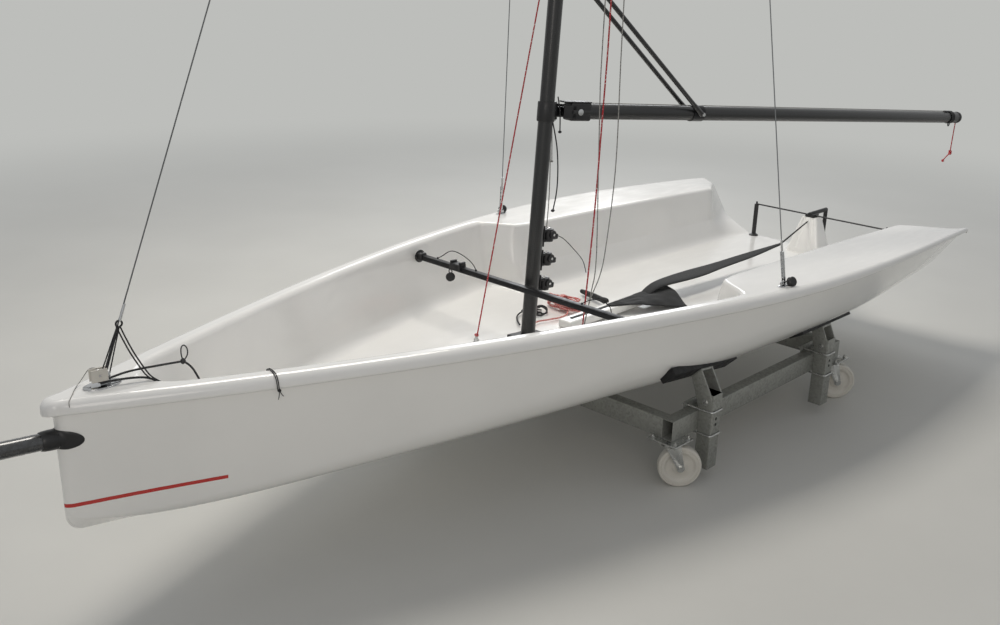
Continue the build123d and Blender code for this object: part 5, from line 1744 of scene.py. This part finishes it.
@dataclass
class Castor:
    """One swivel castor: pressed fork and cast nylon wheel."""

    name: str
    end: int
    side: int
    trail: float = 0.042
    wheel_r: float = 0.0825
    wheel_half: float = 0.020
    fork_half: float = 0.030

    def place(self) -> Matrix:
        """Frame of the castor: swivel axis at the origin, trail along own x."""
        turn = math.atan2(self.side, -1)
        seat = Matrix.Translation((self.end * BOAT.castor_x, self.side * BOAT.castor_y, 0))
        return seat @ Matrix.Rotation(turn, 4, "Z")

    def build(self) -> None:
        """Dresses the fork, turns the wheel and adds its axle nuts."""
        frame = self.place()
        fork = from_node(f"fork_pressing_{self.name}", f"castor_fork_{self.name}", 0.0012, 2)
        race = turned("swivel_race", [(0.020, 0.1665), (0.034, 0.1665), (0.036, 0.1690), (0.034, 0.1715),
                                      (0.020, 0.1715)],
                      frame.translation, Vector((0, 0, 1)), 40)
        rib = [ball("fork_rivet", frame @ Vector((self.trail * 0.35, s * self.fork_half, 0.125)), 0.0045)
               for s in SIDES]
        across = (frame @ Vector((0, 1, 0)) - frame @ Vector((0, 0, 0))).normalized()
        axle = frame @ Vector((self.trail, 0, self.wheel_r))
        nuts = []
        for s in SIDES:
            nuts.append(bar("axle_nut", axle + across * s * self.fork_half, axle + across * s * 0.0375, 0.0115, 6))
            nuts.append(turned("axle_washer", [(0.0, 0.0), (0.0150, 0.0), (0.0150, 0.0014), (0.0, 0.0018)],
                               axle + across * s * 0.0298, across * s, 32))
        if self.end < 0:
            heel, toe = frame @ Vector((-0.030, 0, 0.150)), frame @ Vector((-0.068, 0, 0.136))
            turn = frame.to_quaternion() @ Quaternion((0, 1, 0), -0.35)
            nuts.append(soften(cube("brake_pedal", (0.040, 0.034, 0.004), (heel + toe) / 2, turn), 0.0014, 2))
        dress(joined(f"fork_pressing_{self.name}", [fork, race, *rib, *nuts]), Finishes.ZINC_PLATE,
              f"castor_{self.name}", [f"castor_fork_{self.name}"], 30)
        rim = ((0.008, 0.0), (0.0245, 0.0), (0.0265, 0.0015), (0.029, 0.008), (0.032, 0.0095), (0.050, 0.0095),
               (0.0545, 0.008), (0.058, 0.0022), (0.0605, 0.001), (0.068, 0.001), (0.0695, 0.0028), (0.071, 0.0028),
               (0.0725, 0.001), (0.0775, 0.001), (0.0808, 0.0035), (0.0822, 0.008), (0.0825, 0.013))
        profile = [(radius, depth - self.wheel_half) for radius, depth in rim]
        full = profile + [(radius, -z) for radius, z in reversed(profile)] + [profile[0]]
        wheel = turned(f"wheel_cast_{self.name}", full, axle, across, 72)
        dress(wheel, Finishes.NYLON_WHITE, f"wheel_{self.name}", [f"castor_wheel_{self.name}"], 50)


# Studio


@dataclass
class Studio:
    """Pale floor, soft lamps and the camera at the photograph's angle."""

    floor_colour: str = "D2D1CC"
    backdrop_colour: str = "BDBEBB"
    sky_colour: str = "CBCCCC"
    camera_place: Point = (3.598, 2.616, 1.880)
    yaw: float = -136.233
    pitch: float = -19.022
    roll: float = 1.611
    lens: float = 37.41

    def floor(self) -> None:
        """Lays the floor."""
        fresh()
        bpy.ops.mesh.primitive_plane_add(size=400.0, location=(0, 0, 0))
        plane = bpy.context.object
        plane.name = "studio_floor"
        material = bpy.data.materials.new("floor_painted_concrete")
        material.use_nodes = True
        tree = material.node_tree
        shader = tree.nodes["Principled BSDF"]
        shader.inputs["Roughness"].default_value = 0.55
        place = add_node(tree, "ShaderNodeTexCoord").outputs["Object"]
        cloud = noise(tree, place, 900.0, 6.0)
        tree.links.new(ramp(tree, cloud, shade(self.floor_colour, 0.96), shade(self.floor_colour, 1.03), (0.3, 0.7)),
                       shader.inputs["Base Color"])
        # beyond the lamps' reach the floor is an even backdrop for the camera and for mirror images
        away = add_node(tree, "ShaderNodeVectorMath", {0: place}, operation="LENGTH")
        far = add_node(tree, "ShaderNodeMapRange", {"Value": away.outputs["Value"], "From Min": 2.6, "From Max": 8.5},
                       interpolation_type="SMOOTHSTEP")
        amount = maths(tree, "MULTIPLY", far.outputs[0], self.seen(tree))
        glow = add_node(tree, "ShaderNodeEmission", {"Color": linear(self.backdrop_colour)})
        both = add_node(tree, "ShaderNodeMixShader", {0: amount, 1: shader.outputs[0], 2: glow.outputs[0]})
        tree.links.new(both.outputs[0], tree.nodes["Material Output"].inputs["Surface"])
        plane.data.materials.append(material)

    @staticmethod
    def seen(tree: Tree) -> Socket:
        """One where the camera or a mirror image looks, and nought for the light itself."""
        path = add_node(tree, "ShaderNodeLightPath").outputs
        mirror = maths(tree, "MAXIMUM", path["Is Glossy Ray"], path["Is Transmission Ray"])
        return maths(tree, "MAXIMUM", path["Is Camera Ray"], mirror)

    def lamp(self, name: str, place: Point, target: Point, size: Flat, watts: float, tint: Point = (1, 1, 1)) -> None:
        """Adds a soft rectangular lamp that faces a target."""
        data = bpy.data.lights.new(name, "AREA")
        data.shape = "RECTANGLE"
        data.size, data.size_y = size
        data.energy = watts
        data.color = tint
        obj = linked(name, data)
        obj.location = place
        obj.rotation_mode = "QUATERNION"
        obj.rotation_quaternion = Vector((0, 0, -1)).rotation_difference(Vector(target) - Vector(place))

    def world(self) -> None:
        """Sets an even sky, and a plain pale backdrop for the camera and for mirror images."""
        world = bpy.data.worlds.new("studio_world")
        bpy.context.scene.world = world
        world.use_nodes = True
        tree = world.node_tree
        tree.nodes.clear()
        light = add_node(tree, "ShaderNodeBackground", {"Color": (0.90, 0.94, 1.0, 1.0), "Strength": 0.30})
        back = add_node(tree, "ShaderNodeBackground", {"Color": linear(self.sky_colour), "Strength": 1.0})
        both = add_node(tree, "ShaderNodeMixShader", {0: self.seen(tree), 1: light.outputs[0], 2: back.outputs[0]})
        add_node(tree, "ShaderNodeOutputWorld", {"Surface": both.outputs[0]})

    def camera(self) -> None:
        """Puts the camera where the photograph was taken from."""
        data = bpy.data.cameras.new("photo_camera")
        data.sensor_width = 36.0
        data.lens = self.lens
        obj = linked("photo_camera", data)
        yaw, pitch = math.radians(self.yaw), math.radians(self.pitch)
        ahead = Vector((math.cos(pitch) * math.cos(yaw), math.cos(pitch) * math.sin(yaw), math.sin(pitch)))
        level = ahead.cross(Vector((0, 0, 1))).normalized()
        up = level.cross(ahead)
        turn = math.radians(self.roll)
        right = level * math.cos(turn) + up * math.sin(turn)
        up = right.cross(ahead)
        obj.matrix_world = Matrix((
            (right.x, up.x, -ahead.x, self.camera_place[0]),
            (right.y, up.y, -ahead.y, self.camera_place[1]),
            (right.z, up.z, -ahead.z, self.camera_place[2]),
            (0, 0, 0, 1),
        ))
        bpy.context.scene.camera = obj

    def build(self) -> None:
        """Sets the whole studio."""
        bpy.context.scene.view_settings.view_transform = "Standard"
        self.floor()
        self.world()
        self.lamp("overhead", (0.2, -1.4, 4.8), (0.1, 0, 0.5), (2.6, 1.6), 140.0, (1.0, 0.96, 0.89))
        self.lamp("port_front", (4.6, 4.4, 3.0), (0.4, 0, 0.4), (3.0, 2.0), 48.0, (1.0, 0.93, 0.86))
        self.lamp("starboard_rear", (-4.0, -3.6, 3.4), (-0.6, 0, 0.4), (3.0, 2.0), 70.0, (0.95, 0.97, 1.0))
        self.camera()


def main() -> None:
    """Builds the boat, its cradle and the studio."""
    logging.basicConfig(level=logging.INFO, format="%(message)s")
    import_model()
    form = HullForm()
    deck = Deck(form)
    castors = [Castor(f"{'front' if end > 0 else 'rear'}_{side_name(side)}", end, side)
               for end in (1, -1) for side in (1, -1)]
    pieces = (Hull(form), deck, Bow(form), Mast(), Rigging(form), Boom(), Cockpit(deck), Cradle(), *castors, Studio())
    for part in pieces:
        LOG.info("building %s", type(part).__name__)
        part.build()


if __name__ == "__main__":
    main()
